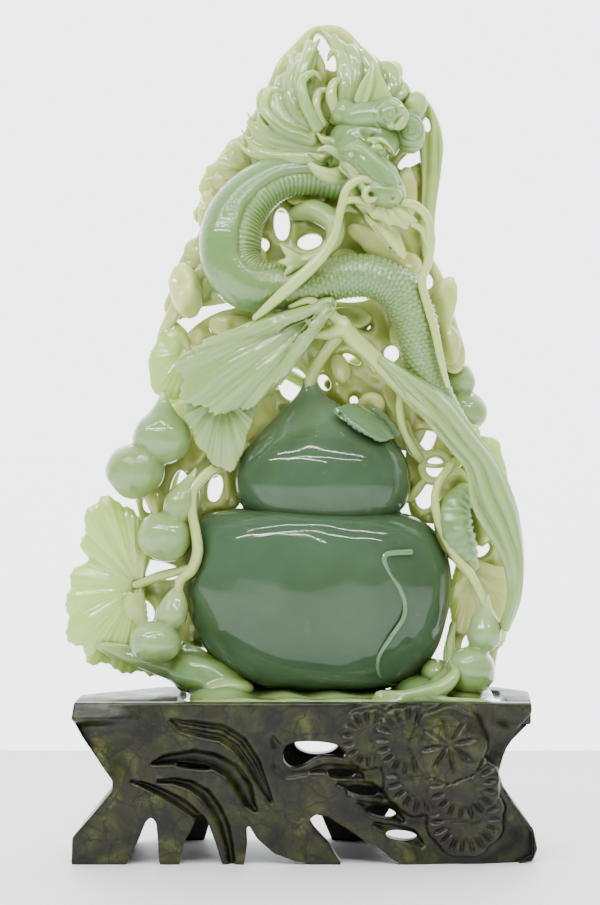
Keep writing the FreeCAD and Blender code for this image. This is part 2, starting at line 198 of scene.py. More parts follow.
def rod(points, steps, sides, shape=None, squash=1.0):
    """A rod through (x, y, z, radius) points, closed at both ends.

    squash flattens it, and shape(u, angle) scales its radius.
    """
    line = through(points, steps)
    places = [Vector(p[:3]) for p in line]
    frames = []
    side_before = None
    for i, place in enumerate(places):
        ahead = places[min(i + 1, steps)] - places[max(i - 1, 0)]
        ahead.normalize()
        reference = Vector((0, 1, 0)) if side_before is None else side_before.cross(ahead)
        side = ahead.cross(reference)
        side.normalize()
        side_before = side
        frames.append((side, side.cross(ahead)))
    ends = 3

    def put(u, v):
        k = u * (steps + 2 * ends)
        i = min(max(k - ends, 0.0), float(steps))
        low = min(int(i), steps - 1)
        f = i - low
        place = places[low].lerp(places[low + 1], f)
        radius = max(mix(line[low][3], line[low + 1][3], f), 0.0)
        over = ends - k if k < ends else k - ends - steps
        if over > 0:
            over = min(over / ends, 1.0)
            ahead = places[1] - places[0] if k < ends else places[-1] - places[-2]
            ahead.normalize()
            sign = -1 if k < ends else 1
            place = place + ahead * sign * radius * 0.8 * math.sin(over * math.pi / 2)
            radius *= math.cos(over * math.pi / 2)
        angle = 2 * math.pi * v
        grow = shape(i / steps, angle) if shape else 1.0
        side = frames[low][0].lerp(frames[low + 1][0], f)
        out = frames[low][1].lerp(frames[low + 1][1], f)
        return place + (side * math.cos(angle) + out * math.sin(angle) * squash) * radius * grow

    return tidy(woven(steps + 2 * ends, sides, put))


def plate(outline, holes, front, back, rounded=True, steps=160):
    """An upright slab from front to back, with an outline and holes of (x, z) points."""
    bpy.ops.object.select_all(action="DESELECT")
    curve = bpy.data.curves.new("plate", "CURVE")
    curve.dimensions = "2D"
    curve.fill_mode = "BOTH"
    curve.extrude = (back - front) / 2 * MM
    for i, ring in enumerate([outline] + list(holes)):
        if rounded or i:
            ring = through(ring, steps if i == 0 else 32, closed=True)
        spline = curve.splines.new("POLY")
        spline.points.add(len(ring) - 1)
        spline.use_cyclic_u = True
        for point, (x, z) in zip(spline.points, ring):
            point.co = (x * MM, z * MM, 0, 1)
    obj = bpy.data.objects.new("plate", curve)
    bpy.context.scene.collection.objects.link(obj)
    alone(obj)
    bpy.ops.object.convert(target="MESH")
    obj = bpy.context.object
    middle = (front + back) / 2 * MM
    for vertex in obj.data.vertices:
        x, z, y = vertex.co
        vertex.co = (x, middle - y, z)
    return tidy(obj)


def oval(x, z, half_width, half_height, turn=0.0):
    """A ring of ten points for a hole, turned by degrees."""
    ring, a = [], math.radians(turn)
    for k in range(10):
        t = 2 * math.pi * k / 10
        u, w = half_width * math.cos(t), half_height * math.sin(t)
        ring.append((x + u * math.cos(a) - w * math.sin(a), z + u * math.sin(a) + w * math.cos(a)))
    return ring


def reskinned(obj, voxel, relax):
    """Gives obj one closed skin, and relaxes it a few times."""
    apply(obj, "REMESH", mode="VOXEL", voxel_size=voxel * MM, adaptivity=0.0)
    if relax:
        apply(obj, "SMOOTH", factor=0.5, iterations=relax)
    return obj


def melted(pieces, voxel, relax):
    """One closed skin over all the pieces, softened where they meet."""
    return reskinned(joined(pieces), voxel, relax)


def pushed(obj, move):
    """Moves each vertex by move(place, normal), both vectors, in millimetres."""
    moves = [move(v.co / MM, v.normal.copy()) for v in obj.data.vertices]
    for vertex, step in zip(obj.data.vertices, moves):
        vertex.co += step * MM
    obj.data.update()
    return obj


def wavy(place, size, seed=0.0):
    """Smooth noise from -1 to 1, with lumps of the given size."""
    return noise.noise(Vector(place) / size + Vector((seed, seed * 1.7, -seed)))


def finished(obj, name, nodes, material, body="carving", sharp=None):
    """Names a piece, gives it its stone and puts it on its body in place of its CAD nodes."""
    alone(obj)
    obj.name = name
    obj.data.name = name
    if sharp is None:
        bpy.ops.object.shade_smooth()
    else:
        bpy.ops.object.shade_smooth_by_angle(angle=math.radians(sharp))
    obj.data.materials.clear()
    obj.data.materials.append(material)
    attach(obj, body)
    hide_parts(*nodes)
    return obj


# ---- stones --------------------------------------------------------------------------------------

class Nodes:
    """Short ways to build a material's nodes."""

    def __init__(self, name):
        self.material = bpy.data.materials.get(name) or bpy.data.materials.new(name)
        self.material.use_nodes = True
        self.tree = self.material.node_tree
        self.shader = self.tree.nodes["Principled BSDF"]
        self.place = self.add("ShaderNodeTexCoord").outputs["Object"]

    def add(self, kind, **settings):
        node = self.tree.nodes.new(kind)
        for key, value in settings.items():
            setattr(node, key, value)
        return node

    def link(self, source, target):
        self.tree.links.new(source, target)
        return target

    def noise(self, scale, detail=4.0, roughness=0.55, distortion=0.0):
        node = self.add("ShaderNodeTexNoise")
        node.inputs["Scale"].default_value = scale
        node.inputs["Detail"].default_value = detail
        node.inputs["Roughness"].default_value = roughness
        node.inputs["Distortion"].default_value = distortion
        self.link(self.place, node.inputs["Vector"])
        return node.outputs["Fac"]

    def ramp(self, source, *stops):
        node = self.add("ShaderNodeValToRGB")
        while len(node.color_ramp.elements) < len(stops):
            node.color_ramp.elements.new(0.5)
        for element, (position, value) in zip(node.color_ramp.elements, stops):
            element.position = position
            element.color = (*value, 1) if len(value) == 3 else value
        self.link(source, node.inputs["Fac"])
        return node.outputs["Color"]

    def blend(self, factor, a, b):
        node = self.add("ShaderNodeMix", data_type="RGBA")
        for key, value in (("Factor", factor), ("A", a), ("B", b)):
            socket = next(s for s in node.inputs if s.name == key and s.enabled)
            if isinstance(value, (int, float)):
                socket.default_value = value
            elif isinstance(value, (tuple, list)) or hasattr(value, "foreach_get"):
                socket.default_value = (*value[:3], 1)
            else:
                self.link(value, socket)
        return next(s for s in node.outputs if s.enabled)

    def occluded(self, distance, *stops, inside=False):
        """A ramp over how closed in the surface is, or how thin the stone is when inside."""
        shade = self.add("ShaderNodeAmbientOcclusion", samples=6, inside=inside, only_local=inside)
        shade.inputs["Distance"].default_value = distance
        return self.ramp(shade.outputs["AO"], *stops)

    def dressed(self, colour, settings, dull, grain, strength, depth):
        """Sets the shader's colour, its numbers, its roughness and its fine bumps."""
        self.link(colour, self.shader.inputs["Base Color"])
        for name, value in settings.items():
            self.shader.inputs[name].default_value = value
        self.link(dull, self.shader.inputs["Roughness"])
        bump = self.add("ShaderNodeBump")
        bump.inputs["Strength"].default_value = strength
        bump.inputs["Distance"].default_value = depth
        self.link(grain, bump.inputs["Height"])
        self.link(bump.outputs["Normal"], self.shader.inputs["Normal"])
        return self.material


def grey(value):
    return (value, value, value)


def linear(red, green, blue):
    """A screen colour of 0 to 255 as the shader's linear one."""
    out = []
    for c in (red, green, blue):
        c /= 255
        out.append(c / 12.92 if c <= 0.04045 else ((c + 0.055) / 1.055) ** 2.4)
    return tuple(out)


def jade(name, body, pale_and_lit_through, shade_and_stain, glow, depth, rough, coat=1.0, high=None):
    """Polished jade: body colour, thin parts painted paler as painted light shining through, and painted
    shade, warmer and darker, in crevices and creases.

    high is the colour of a painted reflection: the gourd is painted paler towards its top, where it turns to
    this colour.
    """
    if name in bpy.data.materials:
        return bpy.data.materials[name]
    m = Nodes(name)
    cloud = m.ramp(m.noise(22, 5, 0.6, 0.4), (0.3, grey(0)), (0.72, grey(1)))
    colour = m.blend(0.22, body, pale_and_lit_through)
    colour = m.blend(cloud, body, colour)
    flecks = m.ramp(m.noise(95, 3, 0.5, 1.2), (0.66, grey(0)), (0.8, grey(0.3)))
    colour = m.blend(flecks, colour, pale_and_lit_through)
    # painted reflection: near the top of the gourd the colour is blended towards high, painted paler as if it
    # caught the bright light from above
    if high:
        height = m.add("ShaderNodeSeparateXYZ")
        m.link(m.place, height.inputs[0])
        colour = m.blend(m.ramp(height.outputs["Z"], (0.212, grey(0)), (0.25, grey(0.8))), colour, high)
    # random stains, in the same colour as the painted shade
    stain = m.ramp(m.noise(16, 3, 0.5, 0.8), (0.5, grey(0)), (0.7, grey(0.55)))
    colour = m.blend(stain, colour, shade_and_stain)
    # painted light: thin parts painted paler, standing in for light shining through the stone
    painted_light_through = m.occluded(0.012, (0.1, grey(1)), (0.75, grey(0)), inside=True)
    colour = m.blend(painted_light_through, colour, pale_and_lit_through)
    # painted shade: where the surface is closed in, it is painted the darker, warmer shade colour
    painted_shade = m.occluded(depth * MM, (0.2, grey(0.95)), (0.9, grey(0)))
    colour = m.blend(painted_shade, colour, shade_and_stain)
    # painted shade: creases and hollows, where pointiness is low, are painted the shade colour
    painted_crease_shade = m.ramp(m.add("ShaderNodeNewGeometry").outputs["Pointiness"], (0.44, grey(0.8)), (0.495, grey(0)))
    colour = m.blend(painted_crease_shade, colour, shade_and_stain)
    dull = m.ramp(m.noise(60, 4, 0.6), (0.3, grey(rough * 0.7)), (0.7, grey(rough * 1.7)))
    return m.dressed(colour, {
        "Subsurface Weight": glow, "Subsurface Radius": (0.7, 1.0, 0.62), "Subsurface Scale": 0.011,
        "IOR": 1.54, "Specular IOR Level": 0.25, "Coat Weight": coat, "Coat Roughness": 0.03,
    }, dull, m.noise(140, 3, 0.5), 0.12, 0.0006)


def serpentine():
    """Dark olive stone with black clouds, brown patches, pale flecks and fine cracks, and painted shade, near
    black, in its hollows.
    """
    m = Nodes("stand stone")
    colours = bpy.context.scene.jade_colours
    colour = m.ramp(m.noise(44, 9, 0.68, 0.6), (0.36, linear(9, 11, 5)), (0.46, linear(28, 31, 11)),
                    (0.55, colours.stand[:]), (0.68, linear(80, 82, 34)))
    brown = m.ramp(m.noise(20, 5, 0.6, 0.8), (0.54, grey(0)), (0.64, grey(0.6)))
    colour = m.blend(brown, colour, linear(34, 24, 12))
    violet = m.ramp(m.noise(26, 6, 0.7, 1.5), (0.57, grey(0)), (0.65, grey(0.7)))
    colour = m.blend(violet, colour, linear(15, 12, 18))
    cells = m.add("ShaderNodeTexVoronoi", feature="DISTANCE_TO_EDGE")
    cells.inputs["Scale"].default_value = 62
    warp = m.add("ShaderNodeVectorMath", operation="MULTIPLY_ADD")
    warp.inputs[1].default_value = (0.03, 0.03, 0.03)
    spread = m.add("ShaderNodeTexNoise")
    spread.inputs["Scale"].default_value = 40
    spread.inputs["Detail"].default_value = 5
    m.link(m.place, spread.inputs["Vector"])
    m.link(spread.outputs["Color"], warp.inputs[0])
    m.link(m.place, warp.inputs[2])
    m.link(warp.outputs[0], cells.inputs["Vector"])
    crack = m.ramp(cells.outputs["Distance"], (0.0, grey(0.85)), (0.06, grey(0)))
    colour = m.blend(crack, colour, linear(12, 10, 7))
    ridge = m.noise(30, 6, 0.6, 0.9)
    vein = m.ramp(ridge, (0.488, grey(0)), (0.5, grey(0.9)), (0.512, grey(0)))
    colour = m.blend(vein, colour, linear(5, 5, 4))
    speck = m.ramp(m.noise(210, 2, 0.5), (0.7, grey(0)), (0.8, grey(0.4)))
    colour = m.blend(speck, colour, linear(96, 100, 58))
    # painted shade: where the surface is closed in, it is painted near black
    painted_shade = m.occluded(0.006, (0.35, grey(0.85)), (0.8, grey(0)))
    colour = m.blend(painted_shade, colour, linear(10, 11, 6))
    dull = m.ramp(m.noise(80, 5, 0.6), (0.3, grey(0.26)), (0.7, grey(0.5)))
    return m.dressed(colour, {
        "IOR": 1.55, "Specular IOR Level": 0.3, "Coat Weight": 0.06, "Coat Roughness": 0.12,
    }, dull, m.noise(160, 5, 0.65), 0.35, 0.0008)


# kind: (thin edges' colour, painted paler for light shining through and also used for random pale tone;
# colour of the painted shade in crevices and of random stains; glow; reach of the painted crevice shade in
# mm; roughness); the body colours are properties
JADES = {
    "deep": ((106, 134, 98), (54, 72, 28), 0.3, 5, 0.07),
    "veil": ((98, 128, 92), (62, 84, 40), 0.3, 4, 0.08),
    "mid": ((170, 194, 116), (104, 124, 40), 0.55, 9, 0.09),
    "leaf": ((144, 172, 104), (100, 120, 42), 0.5, 8, 0.09),
    "fruit": ((180, 200, 134), (116, 134, 44), 0.5, 9, 0.08),
    "pale": ((182, 200, 118), (122, 138, 44), 0.6, 10, 0.1),
    "rock": ((156, 182, 108), (62, 80, 28), 0.45, 9, 0.09),
    "ground": ((214, 220, 140), (156, 164, 66), 0.65, 9, 0.11),
}


def stone(kind):
    """The jade of one kind, in the body colour that the panel holds."""
    pale_and_lit_through, shade_and_stain, glow, depth, rough = JADES[kind]
    body = getattr(bpy.context.scene.jade_colours, kind)[:]
    # the gourd's bulbs get a coat of 0.3 and a painted reflection that makes them paler near their top
    bulb_only = {"coat": 0.3, "high": linear(136, 164, 126)} if kind == "deep" else {}
    return jade(kind + " jade", body, linear(*pale_and_lit_through), linear(*shade_and_stain), glow, depth, rough, **bulb_only)


# ---- properties ----------------------------------------------------------------------------------

def colour_property(name, description, rgb):
    """A colour in the panel, given as a screen colour of 0 to 255."""
    return bpy.props.FloatVectorProperty(name=name, description=description, subtype="COLOR", size=3,
                                         min=0.0, max=1.0, default=linear(*rgb))


class JadeColours(bpy.types.PropertyGroup):
    """Base colours of the stones."""

    deep: colour_property("Gourd", "Deep jade of the two large bulbs", (56, 82, 58))
    veil: colour_property("Gourd leaf", "Paler skin of the leaf and tendril on the gourd", (72, 100, 74))
    mid: colour_property("Dragon", "Sage jade of the dragon", (106, 146, 92))
    leaf: colour_property("Front leaves", "Jade of the leaves in front", (116, 152, 92))
    fruit: colour_property("Small gourds", "Jade of the five small gourds", (124, 157, 98))
    pale: colour_property("Vines", "Pale jade of the vines and outer leaves", (132, 168, 96))
    rock: colour_property("Rock", "Jade of the carving's foot", (98, 134, 76))
    ground: colour_property("Ground", "Yellowish jade behind the motifs", (180, 192, 106))
    stand: colour_property("Stand", "Main green of the stand", (44, 49, 12))


class JadeSizes(bpy.types.PropertyGroup):
    """Sizes that shape the carving's detail."""

    scale_height: bpy.props.FloatProperty(
        name="Scale height", description="How far each dragon scale stands out", default=0.0013,
        min=0.0, max=0.003, unit="LENGTH")
    vein_height: bpy.props.FloatProperty(
        name="Vein height", description="How far leaf ribs stand out", default=0.0022,
        min=0.0, max=0.006, unit="LENGTH")
    stand_relief: bpy.props.FloatProperty(
        name="Stand relief", description="Depth of the grooves cut in the stand", default=0.0045,
        min=0.0, max=0.008, unit="LENGTH")


# ---- the gourd -----------------------------------------------------------------------------------

class JADE_OT_gourd(bpy.types.Operator):
    """The two large bulbs, the stem, the tendril and the small leaf on the upper bulb"""

    bl_idname = "jade.gourd"
    bl_label = "Gourd"

    def execute(self, context):
        self.lower_bulb()
        self.upper_bulb()
        self.stalk()
        self.tendril()
        self.small_leaf()
        return {"FINISHED"}

    @staticmethod
    def polished(place, normal):
        """The slow waves that hand polishing leaves, and the bump on the left shoulder."""
        shoulder = math.exp(-((place.x + 50) ** 2 + (place.z - 170) ** 2) / 110) * 3.5
        return normal * (0.9 * wavy(place, 34, 3) + 0.3 * wavy(place, 12, 8) + shoulder)

    def lower_bulb(self):
        right = [(12.5, 82), (30, 83), (50, 86), (62, 92), (71, 104), (77, 120), (80, 138), (77, 155),
                 (70, 167), (58, 174), (38, 178), (12.5, 178)]
        left = [(12.5, 82), (-8, 83), (-27, 88), (-42, 98), (-52, 112), (-57, 128), (-58, 144),
                (-54, 160), (-47, 171), (-36, 177), (-14, 179), (12.5, 178)]
        right_line, left_line = through(right, 60), through(left, 60)

        def lower(u, v):
            # u runs from the foot to the top, v around from the right side
            r, l = right_line[round(u * 60)], left_line[round(u * 60)]
            a = 2 * math.pi * v
            reach = (math.cos(a) + 1) / 2
            middle_x = (r[0] + l[0]) / 2
            half = (r[0] - l[0]) / 2
            z = mix(l[1], r[1], smooth(reach))
            depth = half * 0.56 * (1 - 0.06 * math.cos(2 * a))
            y = -8 - math.sin(a) * depth
            return middle_x + math.cos(a) * half, y, z

        bulb = tidy(woven(60, 120, lower))
        apply(bulb, "SUBSURF", levels=1, render_levels=1)
        pushed(bulb, self.polished)
        finished(bulb, "gourd_lower", ["gourd_lower_bulb"], stone("deep"))

    def upper_bulb(self):
        profile = [(0, 165), (20, 166), (34, 171), (43, 181), (45.5, 192), (43, 203), (36, 212), (27, 219),
                   (19, 225), (12, 231), (7, 236), (4.5, 240), (3.6, 245)]
        line = through(profile, 60)

        def upper(u, v):
            r, z = line[round(u * 60)]
            a = 2 * math.pi * v
            lean = -6.5 * between(205, 240, z)
            flat = 0.76 + 0.2 * between(215, 240, z)
            full = 8 * math.exp(-((z - 222) / 9) ** 2) * max(0.0, math.cos(a))
            full += 2.5 * math.exp(-((z - 224) / 8) ** 2)
            return 12.5 + lean + (r + full) * math.cos(a), -8 - (r + full * 0.5) * flat * math.sin(a), z

        top = tidy(woven(60, 100, upper))
        apply(top, "SUBSURF", levels=1, render_levels=1)
        pushed(top, self.polished)
        finished(top, "gourd_upper", ["gourd_upper_bulb"], stone("deep"))

    def stalk(self):
        stem = rod([(6, -8, 234, 4.6), (6, -9, 242, 3.4), (9, -14, 250, 3.0), (14, -22, 258, 3.0),
                    (20, -29, 266, 3.6)], 30, 16)
        finished(stem, "gourd_stalk", ["gourd_stem"], stone("pale"))

    def tendril(self):
        path = [(57, 156), (44, 154.5), (45.5, 146), (51, 138), (54, 130), (53, 122), (47, 113),
                (41, 103), (41, 94), (47, 88.5), (58, 88)]
        curl = rod([(x, self.face_y(x, z) + 0.5, z, 1.6 - 0.6 * (i / 10)) for i, (x, z) in enumerate(path)],
                   90, 12)
        finished(curl, "gourd_tendril_relief", ["gourd_tendril"], stone("veil"))

    def small_leaf(self):
        leaf = leaf_piece((20, -37, 228), [(20, 228), (27, 232), (37, 231), (46, 226), (53, 217), (46, 212),
                                           (38, 214), (29, 219)], -39, 2.2, ribs=5, dome=1.2, rib=0.5,
                          follow=lambda x, z: self.upper_y(x, z) - 0.9)
        finished(leaf, "gourd_small_leaf_relief", ["gourd_small_leaf"], stone("veil"), sharp=60)

    @staticmethod
    def face_y(x, z):
        """The lower bulb's front face, near enough."""
        half = 69 if abs(z - 138) < 14 else 69 * math.sqrt(max(0.05, 1 - ((abs(z - 138) - 14) / 46) ** 2))
        c = min(0.98, abs(x - 11) / half)
        return -8 - 0.56 * half * math.sqrt(1 - c * c)

    @staticmethod
    def upper_y(x, z):
        """The upper bulb's front face, near enough."""
        r = 45.5 * math.sqrt(max(0.02, 1 - ((z - 193) / 43) ** 2))
        c = min(0.98, abs(x - 12) / r)
        return -8 - 0.78 * r * math.sqrt(1 - c * c)


# ---- leaves --------------------------------------------------------------------------------------

def leaf_piece(root, rim, back, thickness, ribs, dome, rib, curl=2.0, teeth=0.03, follow=None,
               steps=120, seed=0.0):
    """A carved leaf: ribs run from the root (x, y, z) out to the rim of (x, z) points.

    back is the depth of its rim, dome how far its middle stands forward of that, curl how far the rim
    waves in and out, and teeth the size of its notches. ribs may be a count or rim fractions.
    """
    line = through(rim, steps, closed=True)
    marks = [(k + 0.5) / ribs for k in range(ribs)] if isinstance(ribs, int) else ribs
    span = 0.5 / len(marks)
    rx, ry, rz = root
    vein = rib * bpy.context.scene.jade_sizes.vein_height / 0.0022

    def put(u, v):
        # u runs out from the root, v along the rim
        k = v * steps
        i = int(k)
        a, b = line[i % steps], line[(i + 1) % steps]
        x, z = mix(a[0], b[0], k - i), mix(a[1], b[1], k - i)
        near = min(min(abs(v - m), abs(v - m - 1), abs(v - m + 1)) for m in marks)
        fold = math.cos(math.pi * min(1.0, near / span))
        fine = math.sin(v * math.pi * 2 * len(marks) * 5 + seed) * 0.16
        notch = 1 - teeth * (0.5 - 0.5 * fold) * (1.2 + wavy((v * 40, 0, 0), 3, seed)) * u ** 4
        notch -= (0.012 * math.sin(v * 330 + seed) + 0.012 * wavy((v * 300, 0, 0), 5, seed)) * u ** 6
        reach = u * notch
        x, z = rx + (x - rx) * reach, rz + (z - rz) * reach
        if follow:
            y = follow(x, z) - dome * 0.4 * math.sin(math.pi * u)
        else:
            y = mix(ry, back, u) - dome * math.sin(math.pi * min(1, u * 0.95)) ** 0.8
            y += curl * 1.6 * u * wavy((x, 0, z), 24, seed)
        crest = max(0.0, 1 - near / (span * 0.16))
        y -= vein * (fold * 0.42 + fine) * smooth(u * 1.6) * (1 - 0.3 * u ** 6)
        y -= vein * 0.6 * smooth(crest) * smooth(u * 2.5) * (1 - 0.6 * u)
        return x, y, z

    obj = tidy(woven(36, steps, put))
    apply(obj, "SOLIDIFY", thickness=thickness * MM, offset=-1.0, use_rim=True, use_even_offset=False)
    return reskinned(obj, 0.55, 2)


def draped_leaf(left, right, near, far, folds):
    """A long leaf hanging between two edges of (x, z) points, with folds along it.

    Its top is at depth near and its tip at depth far.
    """
    left, right = through(left, 120), through(right, 120)

    def put(u, v):
        i = round(u * 120)
        x, z = mix(left[i][0], right[i][0], v), mix(left[i][1], right[i][1], v)
        y = mix(near, far, u) - 4.5 * math.sin(math.pi * v) ** 0.7 - 2.4 * math.exp(-(v / 0.14) ** 2)
        y -= 1.3 * math.cos(2 * math.pi * (folds * v + 0.25 * math.sin(5 * u))) + 0.7 * wavy((x, 0, z), 14, 3)
        return x, y, z

    obj = woven(120, 48, put)
    apply(obj, "SOLIDIFY", thickness=0.0036, offset=0.0, use_rim=True)
    return reskinned(obj, 0.6, 3)


# ---- the stand -----------------------------------------------------------------------------------

# Depths of the front piece's two faces and of the rear, and heights of the top slab and its recess
FRONT_FACE, FRONT_BACK, REAR_FACE = -55, -41.2, 59
SLAB_UNDER, RECESS_FLOOR, SLAB_TOP = 69, 76, 81
# The front's outline, seen from the front, as (x, z) points
APRON = [(-112.5, 80.8), (-113.5, 73), (-108, 63), (-99, 50), (-93, 42), (-93, 37), (-103, 25), (-113, 13.5),
         (-113.5, 0), (-86, 0), (-80, 12), (-76.5, 21), (-73.5, 24), (-71, 21), (-70, 10),
         (-69.5, 0), (-59.5, 0), (-57, 11), (-53, 18), (-50.5, 24.5), (-48, 25.5), (-45.5, 22), (-41, 10),
         (-38, 0), (-27, 0), (-25.5, 10), (-26, 22), (-20.5, 13), (-12, 5.5), (-1, 1.5), (10, 0), (22, 0),
         (16, 9.5), (8, 18), (5.5, 22.5), (9, 25), (15, 23.8), (24, 18.2), (34, 11.5), (41, 8), (47, 2.5),
         (52, 0), (112, 0), (118.5, 3.5), (118.5, 15), (110, 27), (103.5, 36), (100.5, 45), (103, 54),
         (106, 61), (112, 70), (117, 76), (117, 80.8)]
APRON_HOLES = [
    [(-7.5, 56), (-5, 60), (1, 61.5), (10, 61.5), (19, 60), (23, 56.5), (24, 53.2), (18, 54),
     (10, 53.4), (4, 50), (-2, 48), (-6.5, 50.5)],
    oval(-52.5, 49.3, 10, 1.5, -6), oval(21.7, 45.2, 7.6, 2.3, -4), oval(32.2, 36.4, 8.4, 2.8, -9),
    oval(41.5, 25.9, 8.2, 2.7, -11), oval(51.8, 14.3, 8.4, 2.4, -6)]
# Grooves in the front: (line of (x, z, half width), depth factor, how high a ridge stands in its middle)
CHANNELS = [
    ([(-64, 73, 0.5), (-58, 69.5, 3.2), (-48, 67.6, 4.2), (-38, 66, 4.4), (-29, 60, 4.4), (-22, 50, 3.8),
      (-17.5, 40, 2.4), (-13, 31, 0.6)], 1.0, 1.4),
    ([(-73, 50.5, 0.6), (-66, 52.6, 2.8), (-52, 54.2, 3.6), (-42, 52, 4.0), (-33, 47, 4.2), (-27, 38.5, 4.4),
      (-24, 31, 3.0), (-21, 27, 0.8)], 1.4, 0.0),
    ([(-70, 41.6, 0.6), (-62, 42, 1.6), (-54, 40, 2.4), (-46.5, 35.5, 2.8), (-41, 28, 2.9), (-37, 20, 2.7),
      (-34.5, 10, 2.2), (-33, 0, 1.8)], 1.0, 0.0),
    ([(-84, 42, 0.4), (-77, 40, 1.4), (-69, 36.5, 2.2), (-62, 32.8, 2.6), (-56, 29, 2.5), (-51, 25, 2.0)],
     1.0, 0.0),
    ([(6, 47, 0.8), (14, 48.5, 2.4), (24, 46.5, 4.0), (32, 43.5, 1.6)], 0.8, 0.0),
    ([(20, 41, 0.8), (28, 39.5, 3.0), (36, 37.5, 4.2), (43, 34, 1.6)], 0.8, 0.0),
    ([(30, 31.5, 0.8), (38, 28.5, 3.2), (46, 26, 4.2), (52, 22, 1.6)], 0.8, 0.0),
    ([(38, 20.5, 0.8), (47, 17.5, 3.0), (56, 14.5, 4.0), (62, 10, 1.4)], 0.8, 0.0),
    ([(-13, 64, 1.0), (-9.5, 58, 3.0), (-10, 50, 3.0), (-5, 45, 2.2), (4, 46, 1.5)], 0.45, 0.0)]
# Needle clusters from front to back: centre x, z, radius, height, first angle, groove count
DISCS = [(75.2, 60.5, 19.6, 3.8, 0.2, 8), (82.6, 39.8, 18.8, 2.6, 3.5, 17), (55.5, 62, 18.6, 2.6, 1.6, 17),
         (62.3, 44.4, 20.4, 1.6, 2.4, 18), (36, 63, 15.6, 1.6, 1.7, 15), (83.8, 23.6, 19.8, 1.2, 3.6, 19)]


def disc_height(x, z):
    """How far the needle clusters stand out at (x, z), or None away from them."""
    for cx, cz, radius, height, first, count in DISCS:
        dx, dz = x - cx, z - cz
        r, a = math.hypot(dx, dz), math.atan2(dz, dx)
        edge = radius * (1 + 0.03 * math.cos(8 * a + first))
        if r > edge:
            continue
        step = 2 * math.pi / count
        off = abs((a - first + step / 2) % step - step / 2) * r
        if count < 10:
            reach = 1.0 * (1 - between(0.6 * radius, 0.8 * radius, r))
        else:
            reach = between(0.5 * radius, 0.62 * radius, r) * (1 - between(0.84 * radius, 0.93 * radius, r))
        groove = max(0.0, 1 - off / 1.2) * 2.0 * reach
        swell = 0.8 * abs(math.sin((a - first) / step * math.pi)) * reach
        return height * (1 - 0.25 * (r / radius) ** 2) * (1 - between(0.93 * edge, edge, r)) + swell - groove
    return None


